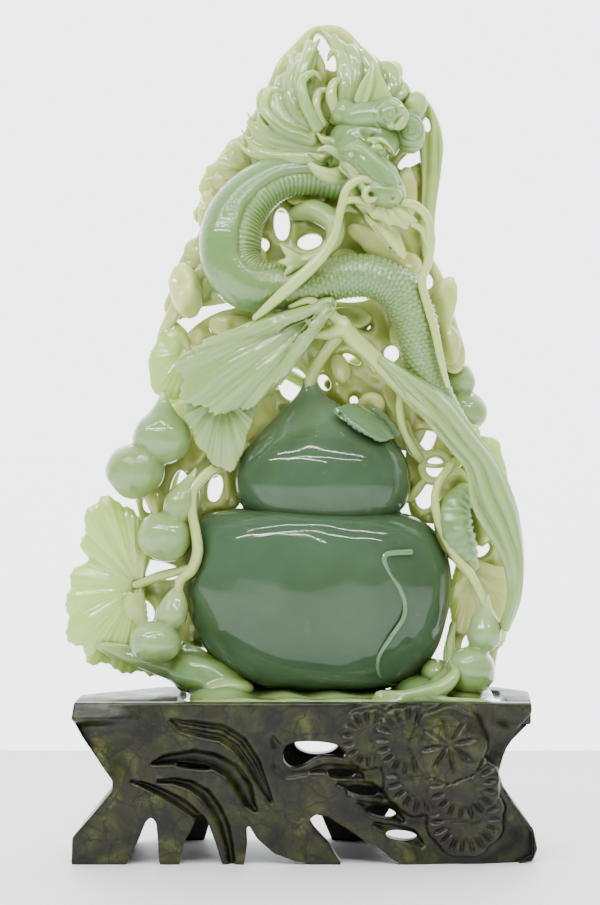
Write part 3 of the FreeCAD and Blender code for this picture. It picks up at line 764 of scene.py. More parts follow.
class JADE_OT_stand(bpy.types.Operator):
    """The stone stand: front with its reliefs, top with its recess, back and two sloping ends"""

    bl_idname = "jade.stand"
    bl_label = "Stand"

    def execute(self, context):
        material = serpentine()
        depth = context.scene.jade_sizes.stand_relief / MM
        self.front(material, depth)
        self.top(material)
        self.back(material, depth)
        self.ends(material)
        return {"FINISHED"}

    @staticmethod
    def front(material, depth):
        """The pierced front with its leaf grooves and needle clusters, sunk where the recess passes."""
        front = reskinned(plate(APRON, APRON_HOLES, FRONT_FACE, FRONT_BACK, rounded=False), 0.85, 0)

        def relief(place, normal):
            x, y, z = place
            forward = 1 - between(-55.2, -49, y)
            if forward <= 0:
                return Vector((0, 0, 0))
            cut = 0.0
            height = disc_height(x, z)
            if height is None:
                for line, deep, ridge in CHANNELS:
                    d, w = off_line(x, z, line)
                    if d < w:
                        rib = ridge * 2.2 * max(0, 1 - d / (0.35 * w))
                        cut = max(cut, depth * deep * (1 - (d / w) ** 4) - rib)
                near = min(math.hypot(x - cx, z - cz) - r for cx, cz, r, *_ in DISCS)
                cut += 3.2 * (1 - between(2, 14, near)) * between(24, 30, x)
            else:
                cut = -height
            # the saw-cut slopes at both ends and the lip under the top's left corner
            cut += 9 * (1 - between(-112, -78, x)) * between(38, 62, z) * (1 - between(68, 73, z))
            cut += 4.5 * (1 - between(-115, -60, x)) * between(72, 81, z)
            cut += 12 * between(86, 119, x) * (1 - between(18, 46, z)) * (0.35 if height else 1)
            cut += 5 * between(92, 104, x) * between(44, 60, z) * (1 - between(66, 74, z))
            cut += 0.35 * wavy(place, 16, 3)
            sunk = z > RECESS_FLOOR and y > -49.5 and -61.8 < x < 105.5
            return Vector((0, cut * forward, RECESS_FLOOR - z if sunk else 0))

        pushed(front, relief)
        apply(front, "SMOOTH", factor=0.5, iterations=1)
        finished(front, "stand_front", ["stand_front_apron", "stand_pine_clusters", "stand_orchid_blades"],
                 material, "stand")

    def top(self, material):
        """The slab on top, with the recess that the carving's foot rests in."""
        top = self.prism([(-112.5, FRONT_BACK), (-74, FRONT_BACK), (104, FRONT_BACK),
                          (117.6, FRONT_BACK), (121.3, 24), (106, REAR_FACE), (-72, REAR_FACE), (-112.5, 0)],
                         SLAB_UNDER, SLAB_TOP)
        bite = self.prism([(-62, -52), (106, -52), (106, 30), (100, 38), (-56, 38), (-62, 30)],
                          RECESS_FLOOR, 90)
        self.cut(top, bite)
        apply(top, "BEVEL", width=0.0008, segments=2, angle_limit=math.radians(30))
        finished(top, "stand_top", ["stand_top_slab"], material, "stand", sharp=35)

    @staticmethod
    def back(material, depth):
        """The plain arched back, with three holes and two shallow arcs."""
        back_outline = [(-72, 69), (-72, 0), (-50, 0), (-46, 14), (-40, 24), (-30, 32), (-22, 36),
                        (-8, 33), (4, 26), (12, 14), (18, 0), (42, 0), (46, 12), (52, 22), (61, 28), (70, 30),
                        (76, 16), (80, 0), (104, 0), (104, 69)]
        holes = [oval(-30, 55, 14, 5), oval(10, 52, 12, 6), oval(50, 54, 14, 5)]
        back = reskinned(plate(back_outline, holes, 45.5, REAR_FACE, rounded=False), 1.2, 0)
        arcs = [[(-66, 40, 1), (-50, 46, 3), (-30, 44, 4), (-8, 44, 3), (6, 40, 1)],
                [(20, 40, 1), (36, 44, 3), (60, 42, 4), (84, 44, 3), (98, 40, 1)]]

        def back_relief(place, normal):
            x, y, z = place
            rear = between(50, 58.5, y)
            cut = 0.4 * wavy(place, 14, 8)
            for line in arcs:
                d, w = off_line(x, z, line)
                if d < w:
                    cut += depth * 0.6 * (1 - (d / w) ** 2)
            return Vector((0, -max(0.0, cut) * rear, 0))

        pushed(back, back_relief)
        apply(back, "SMOOTH", factor=0.5, iterations=2)
        finished(back, "stand_back", ["stand_back_apron"], material, "stand")

    def ends(self, material):
        """The two ends, each with a corner sawn off."""
        ends = (("left",
                 [(-111, 69), (-107, 62), (-99, 51), (-93.5, 43), (-93.5, 37), (-103, 25),
                  (-112, 14), (-113, 0), (-88, 0), (-78, 20), (-78, 69)],
                 [(-125, -20), (-112.7, 0), (-71.8, 59.2), (-80, 70), (-125, 70)]),
                ("right",
                 [(70, 69), (70, 0), (118.5, 0), (121, 6), (119, 16), (110, 28), (103.5, 38), (101, 46),
                  (104, 55), (108, 61), (116, 69)],
                 [(121.4, 24), (106, 59.2), (100, 70), (135, 70), (135, 20)]))
        for side, outline, corner in ends:
            end = plate(outline, [], FRONT_BACK, REAR_FACE, rounded=False)
            self.cut(end, self.prism(corner, -2, 82))
            apply(end, "BEVEL", width=0.0009, segments=2, angle_limit=math.radians(20))
            finished(end, "stand_" + side, [f"stand_{side}_end"], material,
                     "stand", sharp=30)

    @staticmethod
    def prism(plan, low, high):
        """A solid over a plan of (x, y) points."""
        bpy.ops.object.select_all(action="DESELECT")
        bpy.ops.mesh.primitive_circle_add(vertices=len(plan), radius=1, fill_type="NGON")
        obj = bpy.context.object
        for vertex, (x, y) in zip(obj.data.vertices, plan):
            vertex.co = Vector((x, y, low)) * MM
        bpy.ops.object.mode_set(mode="EDIT")
        bpy.ops.mesh.select_all(action="SELECT")
        bpy.ops.mesh.extrude_region_move(TRANSFORM_OT_translate={"value": (0, 0, (high - low) * MM)})
        bpy.ops.object.mode_set(mode="OBJECT")
        return tidy(obj)

    @staticmethod
    def cut(obj, cutter):
        """Takes the cutter out of obj, and removes the cutter."""
        apply(obj, "BOOLEAN", operation="DIFFERENCE", object=cutter, solver="EXACT")
        bpy.data.objects.remove(cutter, do_unlink=True)


# ---- the dragon ----------------------------------------------------------------------------------

# The body's middle line, from the neck down to where the large leaf covers it: (x, y, z, radius)
COIL = [(34, -4, 344, 10), (20, -6, 348, 10.5), (4, -8, 350, 11), (-10, -11, 348, 11.5),
        (-22, -14, 341, 12.5), (-31, -17, 330, 14.5), (-35, -20, 317, 15.5), (-34, -22, 303, 15.5),
        (-25, -24, 293, 14), (-10, -26, 290, 12), (6, -26, 292, 11), (22, -25, 296, 10.5),
        (38, -24, 296, 10.5), (51, -22, 289, 10.8), (59, -20, 276, 11), (62.5, -19, 261, 10.5),
        (65.5, -19, 247, 9.5), (72, -19, 234, 8), (80, -20, 223, 6), (89, -22, 212, 3.5)]


def tongue(along, around):
    """Height, 0 to 1, of overlapping scales in rows; both counts are in scales."""
    row = math.floor(along)
    y = along - row
    x = (around + 0.5 * (row % 2)) % 1.0 - 0.5
    if y < 1 - 2.6 * x * x:
        return (0.25 + 0.75 * y) * (1 - 0.8 * x * x)
    return 0.12


class JADE_OT_dragon(bpy.types.Operator):
    """The dragon: scaled coil, tail end, leg, head, jaw, teeth, whiskers, mane and crest"""

    bl_idname = "jade.dragon"
    bl_label = "Dragon"

    def execute(self, context):
        for carve in (self.coil, self.tail, self.leg, self.head, self.brow, self.eyes, self.jaw, self.horns,
                      self.beard, self.whiskers, self.mane, self.crest):
            carve()
        return {"FINISHED"}

    @staticmethod
    def coil():
        """The looped body, with belly ridges inside the curve and scales outside it."""
        height = bpy.context.scene.jade_sizes.scale_height / MM
        rows = 128

        def scaled(u, angle):
            belly_at = mix(-0.5, 1.6, between(0.4, 0.6, u))
            off = abs((angle - belly_at + math.pi) % (2 * math.pi) - math.pi)
            radius = 12.0
            belly = 1 - between(0.95, 1.1, off)
            seam = math.exp(-((off - 1.06) / 0.09) ** 2) * 1.5
            segment = 0.5 + 0.5 * math.cos(u * rows * 2 * math.pi * 0.8)
            scaly = 0.12 + 0.88 * between(0.42, 0.55, u)
            scale = tongue(u * rows, angle * 20 / (2 * math.pi)) * height * scaly
            bulk = 0.9 * wavy((u * 60, angle, 0), 5)
            return 1 + (belly * (segment ** 0.6) * 0.8 + (1 - belly) * scale - seam + bulk) / radius

        coil = rod(COIL, rows * 5, 88, scaled)
        finished(coil, "dragon_coil", ["dragon_body_loop"], stone("mid"))

    @staticmethod
    def tail():
        """The ringed end of the tail, seen below the large leaf."""
        def ringed(u, angle):
            return 1 + 0.055 * math.cos(u * 9 * 2 * math.pi) * (0.6 + 0.4 * math.cos(angle))

        tail = rod([(86, -10, 186, 6), (80, -14, 177, 9), (80, -17, 167, 10), (84, -17, 157, 8.5),
                    (89, -16, 148, 4)],
                   110, 36, ringed)
        finished(tail, "dragon_tail", ["dragon_tail_end"], stone("mid"))

    @staticmethod
    def leg():
        """The foreleg, with three claws in front and one behind."""
        leg = [rod([(-2, -6, 330, 4), (8, -12, 331, 6), (18, -18, 324, 5.6), (18, -24, 314, 4.4),
                    (10, -28, 306, 3.6), (0, -33, 303, 3)], 40, 16)]
        for dx, dz in ((-11, 6), (-12, 0), (-10, -6)):
            leg.append(rod([(2, -32, 303, 2.6), (2 + dx * 0.6, -36, 303 + dz * 0.7, 2.2),
                            (2 + dx, -35, 303 + dz * 1.5, 0.8)], 16, 10))
        leg.append(rod([(16, -16, 326, 3), (24, -14, 332, 2.4), (30, -12, 330, 0.8)], 16, 10))
        finished(melted(leg, 0.8, 3), "dragon_leg", ["dragon_foreleg"], stone("mid"))

    @staticmethod
    def head():
        """The skull and snout, with lids, nostrils, cheeks and ears."""
        skull = [
            lump((34, -17, 366), (19, 15, 13)), lump((24, -20, 359), (11, 11, 10)),
            rod([(26, -26, 362, 8), (33, -30, 355, 9), (40, -32, 347, 10), (46, -32, 338, 9.5)], 24,
                24, squash=0.9),
            lump((44, -34, 338), (11, 8.5, 9), (0, 20, 0)),
            rod([(30, -33, 363, 3), (38, -37, 355, 3.4), (46, -39, 346, 3), (50, -38, 338, 2.5)], 20, 12),
            rod([(23, -30, 356, 3), (28, -34, 348, 3), (33, -37, 341, 2.8), (38, -38, 334, 2.4)], 20, 12),
            lump((27.5, -33, 357), (4.4, 3.4, 3.8)), lump((41, -35, 361), (4.4, 3.2, 3.6)),
            rod([(36, -41, 340, 1.6), (33.6, -42, 337, 1.9), (35, -42.5, 333.6, 1.8),
                 (38.6, -42.5, 334, 1.5)], 16, 10),
            rod([(47, -41, 339, 1.5), (50.6, -40.5, 337, 1.8), (50.4, -40, 333.4, 1.7),
                 (47, -41, 332.6, 1.4)], 16, 10),
            rod([(22, -31, 360, 1.6), (28, -36.5, 361.4, 2), (34, -37, 358.6, 1.8), (37, -37, 354, 1.1)], 20,
                10),
            rod([(36, -37, 365, 1.8), (43, -38, 363.4, 2), (48, -36, 358, 1.4)], 20, 10),
            rod([(22, -32, 352.5, 1.6), (27, -37, 347, 1.8), (32, -40, 341.6, 1.7), (34, -40.5, 336, 1.2)],
                20, 10),
            rod([(36, -38, 356, 1.2), (42, -39.5, 348, 1.5), (46, -40.5, 342, 1.2)], 16, 10),
            rod([(21, -30, 357, 2.4), (15, -31, 361, 2), (10, -30, 360, 1)], 14, 10),
            rod([(21, -24, 363, 3.4), (14, -24, 366, 2.6), (9, -22, 371, 1)], 14, 10),
            rod([(19, -22, 357, 3), (12, -22, 357, 2.4), (5, -20, 360, 0.8)], 14, 10)]
        head = melted(skull, 0.7, 3)

        def modelled(place, normal):
            x, _, z = place
            if normal.y > 0.2:
                return Vector((0, 0, 0))
            cut = 0.0
            for hx, hz, r, deep in ((13.5, 370, 3.2, 3.0), (38, 366.5, 3.6, 2.4), (15.5, 355.5, 3, 2.6),
                                    (36.8, 336.5, 1.3, 1.4), (47.8, 334.5, 1.3, 1.4)):
                d = math.hypot(x - hx, z - hz)
                cut = max(cut, deep * (1 - smooth(d / r)))
            d, w = off_line(x, z, [(34, 369, 2), (41, 362, 2.2), (50, 356, 1.6)])
            if d < w * 1.4:
                cut = max(cut, 2.0 * (1 - smooth(d / (w * 1.4))))
            d, _ = off_line(x, z, [(30, 352, 1), (36, 345, 1), (44, 341, 1), (52, 342, 1)])
            return normal * (-cut - 0.8 * max(0, 1 - d / 1.0) + 0.25 * wavy(place, 5, 2))

        pushed(head, modelled)
        apply(head, "SMOOTH", factor=0.4, iterations=1)
        finished(head, "dragon_face", ["dragon_head"], stone("mid"))

    @staticmethod
    def brow():
        """The scrolled brow behind the eyes."""
        brow = [lump((38, -22, 378), (17, 11, 9), (0, -4, 0)), lump((46, -25, 379), (9.5, 8, 9)),
                lump((57, -17, 370.5), (8.5, 9, 11), (0, -10, 0)),
                lump((60, -12, 385), (6.5, 6, 8), (0, 15, 0)),
                rod([(59, -12, 388, 3.5), (59, -11, 393, 1)], 8, 10), lump((24, -18, 380), (8, 8, 8)),
                rod([(48, -30, 384, 2), (54, -30, 379, 2.4), (52, -31, 372, 2), (46, -32, 372, 1.4)], 20, 12)]
        brow = melted(brow, 0.8, 4)

        def scrolled(place, normal):
            x, _, z = place
            cut = 0.0
            for cx, cz, r in ((47, 379, 9), (57, 371, 10)):
                d, a = math.hypot(x - cx, z - cz), math.atan2(z - cz, x - cx)
                if d < r:
                    cut = 0.7 * max(0.0, math.cos((d * 1.9 - a))) ** 3 * between(0, 2, d)
            return normal * (-cut * (1 if normal.y < 0 else 0) + 0.2 * wavy(place, 6, 4))

        pushed(brow, scrolled)
        finished(brow, "dragon_brow", ["dragon_brow_scroll"], stone("mid"))

    @staticmethod
    def eyes():
        """The two eyes, as one pair."""
        eyes = joined([lump((27.4, -35.2, 357.2), (2.2, 1.7, 2.0), segments=24),
                       lump((41, -36.6, 361), (2.2, 1.7, 2.0), segments=24)])
        finished(eyes, "dragon_eye_pair", ["dragon_eyes"], stone("mid"))

    @staticmethod
    def jaw():
        """The lower jaw with its row of teeth."""
        jaw = [rod([(26, -24, 350, 5), (18, -28, 347, 4.6), (11, -30, 349, 3.4), (6, -30, 353, 1.6)], 24, 16),
               rod([(28, -26, 346, 4), (30, -29, 338, 4), (36, -31, 330, 3.4), (44, -31, 326, 2)], 24, 14)]
        jaw = [melted(jaw, 0.8, 3)]
        teeth = 7
        for k in range(teeth):
            t = k / (teeth - 1)
            x, z = mix(23.5, 30.5, t), mix(350.5, 344, t)
            bpy.ops.object.select_all(action="DESELECT")
            bpy.ops.mesh.primitive_cone_add(vertices=12, radius1=0.75 * MM, radius2=0.15 * MM, depth=4.2 * MM)
            tooth = bpy.context.object
            tooth.rotation_euler = (0, math.radians(150), 0)
            tooth.location = Vector((x - 1.6, mix(-35.5, -40, t), z - 1.2)) * MM
            jaw.append(settle(tooth))
        finished(joined(jaw), "dragon_jaw_teeth", ["dragon_lower_jaw"], stone("mid"), sharp=50)

    @staticmethod
    def horns():
        """The fin between the brows and the two curled horns."""
        horns = [plate([(29, 385), (31, 393), (35, 400), (38.8, 407), (42, 400), (46, 392), (48, 385),
                        (39, 382)], [],
                       -27, -21),
                 rod([(34, -27.5, 384, 1.6), (37, -28, 394, 1.3), (38.6, -27, 404, 0.7)], 16, 10),
                 rod([(20, -20, 380, 3.4), (17, -21, 388, 3.2), (18, -19, 395, 2.6), (22, -17, 398, 1.6)], 24,
                     14),
                 rod([(12, -20, 374, 3.2), (9, -21, 382, 3), (10, -19, 390, 2.6), (14, -17, 393, 1.4)], 24,
                     14)]
        finished(melted(horns, 0.7, 5), "dragon_horn_pair", ["dragon_horns"], stone("mid"))

    @staticmethod
    def beard():
        """The scalloped lip fringe between the whiskers, and the blade of beard below it."""
        fringe = leaf_piece((42, -36, 334), [(27, 333), (32, 329), (37, 325), (44, 322), (50, 320),
                                             (57, 319), (61, 323), (56, 330), (48, 336), (40, 338),
                                             (32, 337)], -35, 3, ribs=9, dome=2.5,
                            rib=1.0, teeth=0.1, steps=110, seed=2)
        beard = leaf_piece((36, -32, 328), [(33, 328), (38, 321), (46, 312), (53, 304), (55, 309),
                                            (52, 317), (47, 324), (40, 328)], -31, 3, ribs=5, dome=2,
                                           rib=1.2, seed=4)
        finished(joined([fringe, beard]), "dragon_lip_beard", ["dragon_beard"],
                 stone("pale"), sharp=60)

    @staticmethod
    def whiskers():
        """The two long whiskers, each with a short branch."""
        left = [rod([(38, -37, 343, 2.6), (31, -39, 344, 2.6), (24.5, -41, 339, 2.3), (21.5, -41, 329, 2.2),
                     (19, -41, 318, 2.3), (14, -41, 308, 2.8), (6, -42, 299, 3.2), (-4, -42, 290, 3.2),
                     (-14, -41, 281, 2.6), (-22, -40, 274, 1.6)], 90, 16),
                rod([(22.5, -41, 333, 2), (29, -40, 334, 1.9), (36, -38, 332, 2)], 20, 12)]
        finished(melted(left, 0.6, 2), "dragon_whisker_near", ["dragon_whisker_left"],
                 stone("pale"))
        right = [rod([(53, -36, 333, 2.6), (60, -36, 331, 2.5), (65.5, -35, 325, 2.3), (67.5, -34, 314, 2.3),
                      (66, -32, 303, 2.3), (63, -31, 294, 2.4), (65, -31, 283, 2.2), (69, -31, 270, 2.2),
                      (72, -31, 256, 2), (76, -30, 240, 1.4)], 90, 14),
                 rod([(58, -35, 322, 1.6), (63, -34, 319, 1.7), (66.5, -33, 310, 1.8)], 16, 10)]
        finished(melted(right, 0.6, 2), "dragon_whisker_far", ["dragon_whisker_right"],
                 stone("pale"))

    @staticmethod
    def mane():
        """The mane: five locks between each pair of guide lines, and two hooked locks a side."""
        left = [[(14, 356), (-2, 356), (-16, 357), (-26, 362), (-30, 370)],
                [(12, 362), (-2, 365), (-14, 368), (-22, 375), (-24, 384)],
                [(12, 366), (0, 370), (-10, 379), (-14, 390), (-12, 402)],
                [(12, 370), (2, 376), (-5, 387), (-5, 399), (-1, 411)],
                [(12, 372), (4, 381), (0, 394), (3, 407), (8, 420), (11, 427)],
                [(14, 375), (9, 384), (7, 394), (8, 404), (9, 412)]]
        right = [[(18, 376), (21, 388), (22, 399), (21, 410), (17, 420), (13, 427)],
                 [(24, 379), (28, 390), (29, 401), (27, 412), (20, 423)],
                 [(30, 381), (36, 392), (38, 402), (34, 411), (28, 418)],
                 [(38, 384), (45, 391), (48, 398), (45, 405), (38, 411)],
                 [(46, 386), (53, 388), (57, 391), (54, 396), (49, 401)]]
        near_hooks = [[(10, -22, 372), (4, -23, 384), (2, -21, 396), (8, -18, 401), (12, -16, 397)],
                      [(8, -20, 366), (-6, -20, 371), (-17, -16, 382), (-15, -13, 392), (-10, -13, 393)]]
        far_hooks = [[(26, -18, 384), (27, -17, 396), (24, -14, 408), (18, -12, 413), (15, -11, 408)],
                     [(40, -17, 386), (48, -15, 394), (50, -12, 402), (45, -10, 407), (41, -9, 403)]]
        for name, node, guides, hooks in (("dragon_mane_near", "dragon_mane_left", left, near_hooks),
                                          ("dragon_mane_far", "dragon_mane_right", right, far_hooks)):
            locks = []
            for g, (low, high) in enumerate(zip(guides, guides[1:])):
                a, b = through(low, 8), through(high, 8)
                for k in range(5):
                    t = k / 5
                    end = (1.0, 0.9, 0.96, 0.84, 0.92)[(k + 2 * g) % 5]
                    path = []
                    for i in range(9):
                        f = i / 8 * end
                        step = int(f * 8)
                        (x0, z0), (x1, z1) = [[mix(p, q, t) for p, q in zip(a[at], b[at])]
                                              for at in (min(8, step), min(8, step + 1))]
                        x, z = mix(x0, x1, f * 8 - step), mix(z0, z1, f * 8 - step)
                        y = mix(-16, -5, f) - 5 * math.sin(math.pi * f) * (0.5 + 0.5 * math.cos(6.28 * t))
                        y -= 1.2 * (k % 2)
                        hook = 3.2 * max(0.0, f - 0.6) ** 2 * (1 if k % 2 else -1) * 6
                        path.append((x + hook, y, z, (3.6 - 3.2 * f ** 2.8) * (1.0 if k % 2 else 0.8)))
                    locks.append(rod(path, 36, 12))
            locks += [rod([(*p, r) for p, r in zip(hooked, (3.4, 3.2, 2.6, 1.9, 0.8))], 26, 12)
                      for hooked in hooks]
            finished(melted(locks, 0.75, 4), name, [node], stone("mid"))

    @staticmethod
    def crest():
        """The fluted band down the right side of the neck."""
        crest = plate([(57, 393), (64, 392), (71, 382), (75, 368), (74, 352), (71, 330), (70, 308),
                       (65, 305), (63, 320), (64, 345), (63, 358), (61, 380)],
                      [oval(66.5, 376, 1.8, 4.2, 10)], -6, 4)
        reskinned(crest, 0.9, 0)

        def fluted(place, normal):
            x, _, z = place
            groove = 1.1 * math.cos((x - 66 - 4 * math.sin((z - 320) / 26)) * 1.1)
            return Vector((0, -1 if normal.y < 0 else 1, 0)) * groove * abs(normal.y)

        pushed(crest, fluted)
        apply(crest, "SMOOTH", factor=0.5, iterations=6)
        finished(crest, "dragon_crest_band", ["dragon_crest"], stone("pale"))


# ---- leaves, small gourds and vines --------------------------------------------------------------

# name: (nodes, root, rim, rim depth, thickness, ribs, dome, rib height, notches, seed)
LEAVES = {
    "leaf_front": (["leaf_front_left"], (16, -33, 281),
                   [(18, 285), (12, 274), (4, 264), (-4, 257), (-9, 247), (-14, 238), (-20, 231), (-30, 226),
                    (-40, 225), (-51, 227), (-58, 232), (-62, 240), (-63, 249), (-60, 256), (-52, 259),
                    (-46, 263), (-38, 265), (-26, 265), (-14, 269), (-2, 276), (8, 284)],
                   -33, 3.4, [0.16, 0.24, 0.32, 0.41, 0.5, 0.585, 0.66, 0.74, 0.82], 6.0, 1.5, 0.05, 1),
    "leaf_hanging": (["leaf_hanging_left"], (-38, -24, 236),
                     [(-20, 232), (-23, 222), (-26, 212), (-31, 199), (-37, 196), (-43, 200),
                      (-49, 206), (-55, 216), (-59, 229), (-50, 236), (-34, 238)], -25, 3,
                     [0.08, 0.2, 0.3, 0.4, 0.5, 0.62, 0.74], 2.5, 1.2, 0.06, 2),
    "leaf_fan": (["leaf_left_fan"], (-83, -5, 138),
                 [(-78, 144), (-75, 156), (-79, 169), (-86, 178), (-93, 183), (-102, 184.5), (-109, 178),
                  (-112, 168), (-113, 158), (-110, 152), (-116, 147), (-119.5, 138), (-120.5, 128),
                  (-121, 116), (-118, 107), (-112, 103), (-108, 97), (-98, 95), (-87, 91), (-76, 89),
                  (-71, 97), (-77, 110), (-87, 118), (-89, 127), (-80, 132)],
                 -4, 3, [0.07, 0.14, 0.2, 0.26, 0.33, 0.4, 0.46, 0.53, 0.6, 0.67, 0.75], 5.0, 1.3, 0.06, 3),
    "leaf_low": (["leaf_right_low"], (90, -3, 146),
                 [(84, 158), (92, 152), (101, 149), (111, 146), (113, 134), (110, 120),
                  (107, 108), (103, 103), (97, 112), (92, 112), (87, 110), (80, 116), (77, 128), (79, 142)],
                 -3, 3, [0.08, 0.2, 0.32, 0.45, 0.58, 0.7, 0.84], 3.5, 0.8, 0.05, 5),
    "leaf_upper": (["leaf_right_upper"], (96, 1, 203),
                   [(92, 214), (99, 215), (105, 212), (107, 203), (109, 194), (111, 184),
                    (107, 176), (101, 184), (96, 196)], 1, 3, [0.1, 0.3, 0.5, 0.75], 2.5, 0.8, 0.06, 6),
    "leaf_high": (["leaf_left_high"], (-25, 2, 352),
                  [(-25, 371), (-33, 370), (-40, 365), (-43, 358), (-50, 354), (-52, 345),
                   (-51, 338), (-55, 331), (-51, 323), (-46, 318), (-38, 330), (-26, 340)], 3, 3,
                  [0.08, 0.2, 0.33, 0.45, 0.57, 0.7], 3.0, 0.9, 0.08, 7),
    "leaf_side": (["leaf_left_side"], (-46, 1, 305),
                  [(-50, 318), (-57, 317), (-62, 308), (-66, 300), (-69, 291), (-70, 281),
                   (-62, 274), (-52, 279), (-44, 292)], 3, 3, [0.1, 0.27, 0.44, 0.62, 0.8], 4.0,
                  1.0, 0.08, 8),
    "leaf_edge": (["leaf_left_edge"], (-58, 1, 258),
                  [(-62, 275), (-70, 274), (-75, 265), (-78, 254), (-78, 244), (-73, 236),
                   (-64, 233), (-57, 240), (-54, 262)], 2, 3, [0.1, 0.27, 0.44, 0.62, 0.8], 4.0,
                  0.8, 0.05, 9),
}
# The two edges of the large draped leaf on the right, from its top down
LARGE_LEAF_LEFT = [(41, 253.5), (52, 240), (65, 223), (77.5, 208), (86, 197), (89, 180),
                   (96, 167), (104, 154), (107.5, 143), (108, 131), (104, 117)]
LARGE_LEAF_RIGHT = [(42, 254.5), (57, 246), (76, 234), (92, 214), (102.6, 199), (110, 181), (113.5, 162),
                    (114, 145), (112, 130), (106, 115)]
# name: (nodes, root, rim, seed)
BACK_LEAVES = {
    "leaf_rear_left": (["leaf_back_left"], (-24, 26, 250),
                       [(-20, 262), (-34, 264), (-50, 262), (-60, 252), (-72, 244), (-78, 228),
                        (-74, 212), (-66, 202), (-56, 194), (-42, 194), (-34, 204), (-24, 208), (-18, 224),
                        (-14, 242)], 11),
    "leaf_rear_right": (["leaf_back_right"], (56, 26, 250),
                        [(54, 258), (66, 256), (78, 250), (86, 238), (94, 232), (96, 228),
                         (92, 226), (84, 226), (74, 226), (66, 226), (58, 228), (52, 232), (50, 242)], 12),
    "leaf_rear_top": (["leaf_back_top"], (4, 18, 340),
                      [(-6, 334), (8, 334), (22, 338), (34, 345), (32, 358), (34, 372), (22, 384), (8, 398),
                       (-6, 392), (-18, 386), (-30, 372), (-36, 356), (-30, 344), (-18, 337)], 13),
}
# name: (lower centre, lower radii, upper centre, upper radii, tip)
SMALL = {
    "small_gourd_left_top": ((-83.5, -16, 197), (15, 15, 14.5), (-70, -16, 214), (15.5, 14, 14),
                             (-69.5, -16, 232)),
    "small_gourd_left_middle": ((-68, -21, 163.5), (14, 14, 13), (-60, -21, 179), (9.5, 10, 9.5),
                                (-54, -20, 194)),
    "small_gourd_left_low": ((-73, -23, 109.5), (13.5, 13.5, 11), (-64.5, -22, 124), (8, 8.5, 8.5),
                             (-60.5, -21, 137)),
    "small_gourd_right_low": ((88, -24, 95.5), (12.8, 13, 12.5), (94.5, -23, 113.5), (9.2, 9.5, 9.5),
                              (96.5, -21, 129)),
    "small_gourd_right_top": ((87, 12, 228), (12, 12, 11), (84, 12, 244), (9, 9, 9), (79, 12, 257)),
}
# name: (nodes, strands of (x, y, z, radius) points)
RODS = {
    "vine_front": (["vine_main"], [
        [(-12, -31, 259, 1.8), (-4, -31, 264, 2.4), (6, -31, 267, 2.8), (16, -31, 267, 3.4),
         (24, -32, 270, 5)],
        [(22, -31, 272, 4.5), (28, -31, 264, 4.6), (38, -30, 255, 4.2), (50, -29, 243, 4.6),
         (62, -28, 232, 5.4), (74, -27, 222, 6.2), (84, -26, 210, 5)],
        [(24, -31, 270, 3), (16, -33, 277, 2.8), (6, -36, 283, 2.4), (-4, -38, 280, 1.4)]]),
    "vine_branch": (["vine_inner"], [
        [(46, -27, 247, 2.4), (52, -23, 238, 2.2), (52, -19, 228, 2.2), (54, -15, 218, 2.2),
         (59, -10, 208, 2.6), (63, -5, 203, 2.4)]]),
    "vine_left_strand": (["vine_left"], [
        [(-26, -12, 210, 2.6), (-36, -17, 202, 2.8), (-46, -22, 196, 2.8), (-53, -25, 188, 2.6),
         (-54, -27, 177, 2.6), (-52, -29, 166, 2.8), (-51, -29, 156, 3), (-54, -27, 147, 3),
         (-60, -24, 141, 2.6), (-61, -22, 134, 2.2)],
        [(-54, -27, 148, 2), (-64, -18, 145, 2.4), (-74, -11, 142, 2.6), (-84, -7, 138, 2.2)]]),
    "vine_right_strand": (["vine_right"], [
        [(78, -15, 200, 2), (72, -18, 191, 2.2), (70, -20, 181, 2.3), (73, -22, 168, 2.4),
         (80, -23, 154, 2.4), (88, -23, 144, 2.6), (93, -22, 134, 2.2), (96, -21, 126, 2)]]),
    "vine_rear_left": (["vine_back_left"], [
        [(8, 12, 240, 3), (-12, 24, 250, 3.4), (-34, 25, 241, 3.2), (-52, 25, 223, 3), (-64, 23, 200, 3),
         (-68, 16, 178, 3), (-66, 11, 158, 3)]]),
    "vine_rear_right": (["vine_back_right"], [
        [(16, 12, 242, 3), (34, 24, 255, 3.4), (56, 25, 246, 3.2), (74, 25, 226, 3), (84, 22, 198, 3),
         (88, 16, 172, 3), (90, 11, 150, 3)]]),
    "vine_rear_top": (["vine_back_top"], [
        [(24, 12, 262, 3), (38, 14, 280, 3.2), (36, 17, 302, 3.2), (22, 20, 318, 3), (4, 18, 330, 3)]]),
}


class JADE_OT_leaves(bpy.types.Operator):
    """The leaves at the front, the sides and the back"""

    bl_idname = "jade.leaves"
    bl_label = "Leaves"

    def execute(self, context):
        for name, (nodes, root, rim, back, thick, ribs, dome, rib, teeth, seed) in LEAVES.items():
            leaf = leaf_piece(root, rim, back, thick, ribs, dome, rib, 2.5, teeth, steps=200, seed=seed)
            kind = "ground" if name == "leaf_low" else "leaf" if root[1] < -20 else "pale"
            finished(leaf, name, nodes, stone(kind))
        drape = draped_leaf(LARGE_LEAF_LEFT, LARGE_LEAF_RIGHT, -29, -21, 2.5)
        finished(drape, "leaf_large", ["leaf_right_large"], stone("leaf"))
        for name, (nodes, root, rim, seed) in BACK_LEAVES.items():
            leaf = leaf_piece(root, rim, root[1] + 3, 3, 9, -3.0, 1.2, 2.0, 0.07, steps=180, seed=seed)
            finished(leaf, name, nodes, stone("pale"))
        return {"FINISHED"}


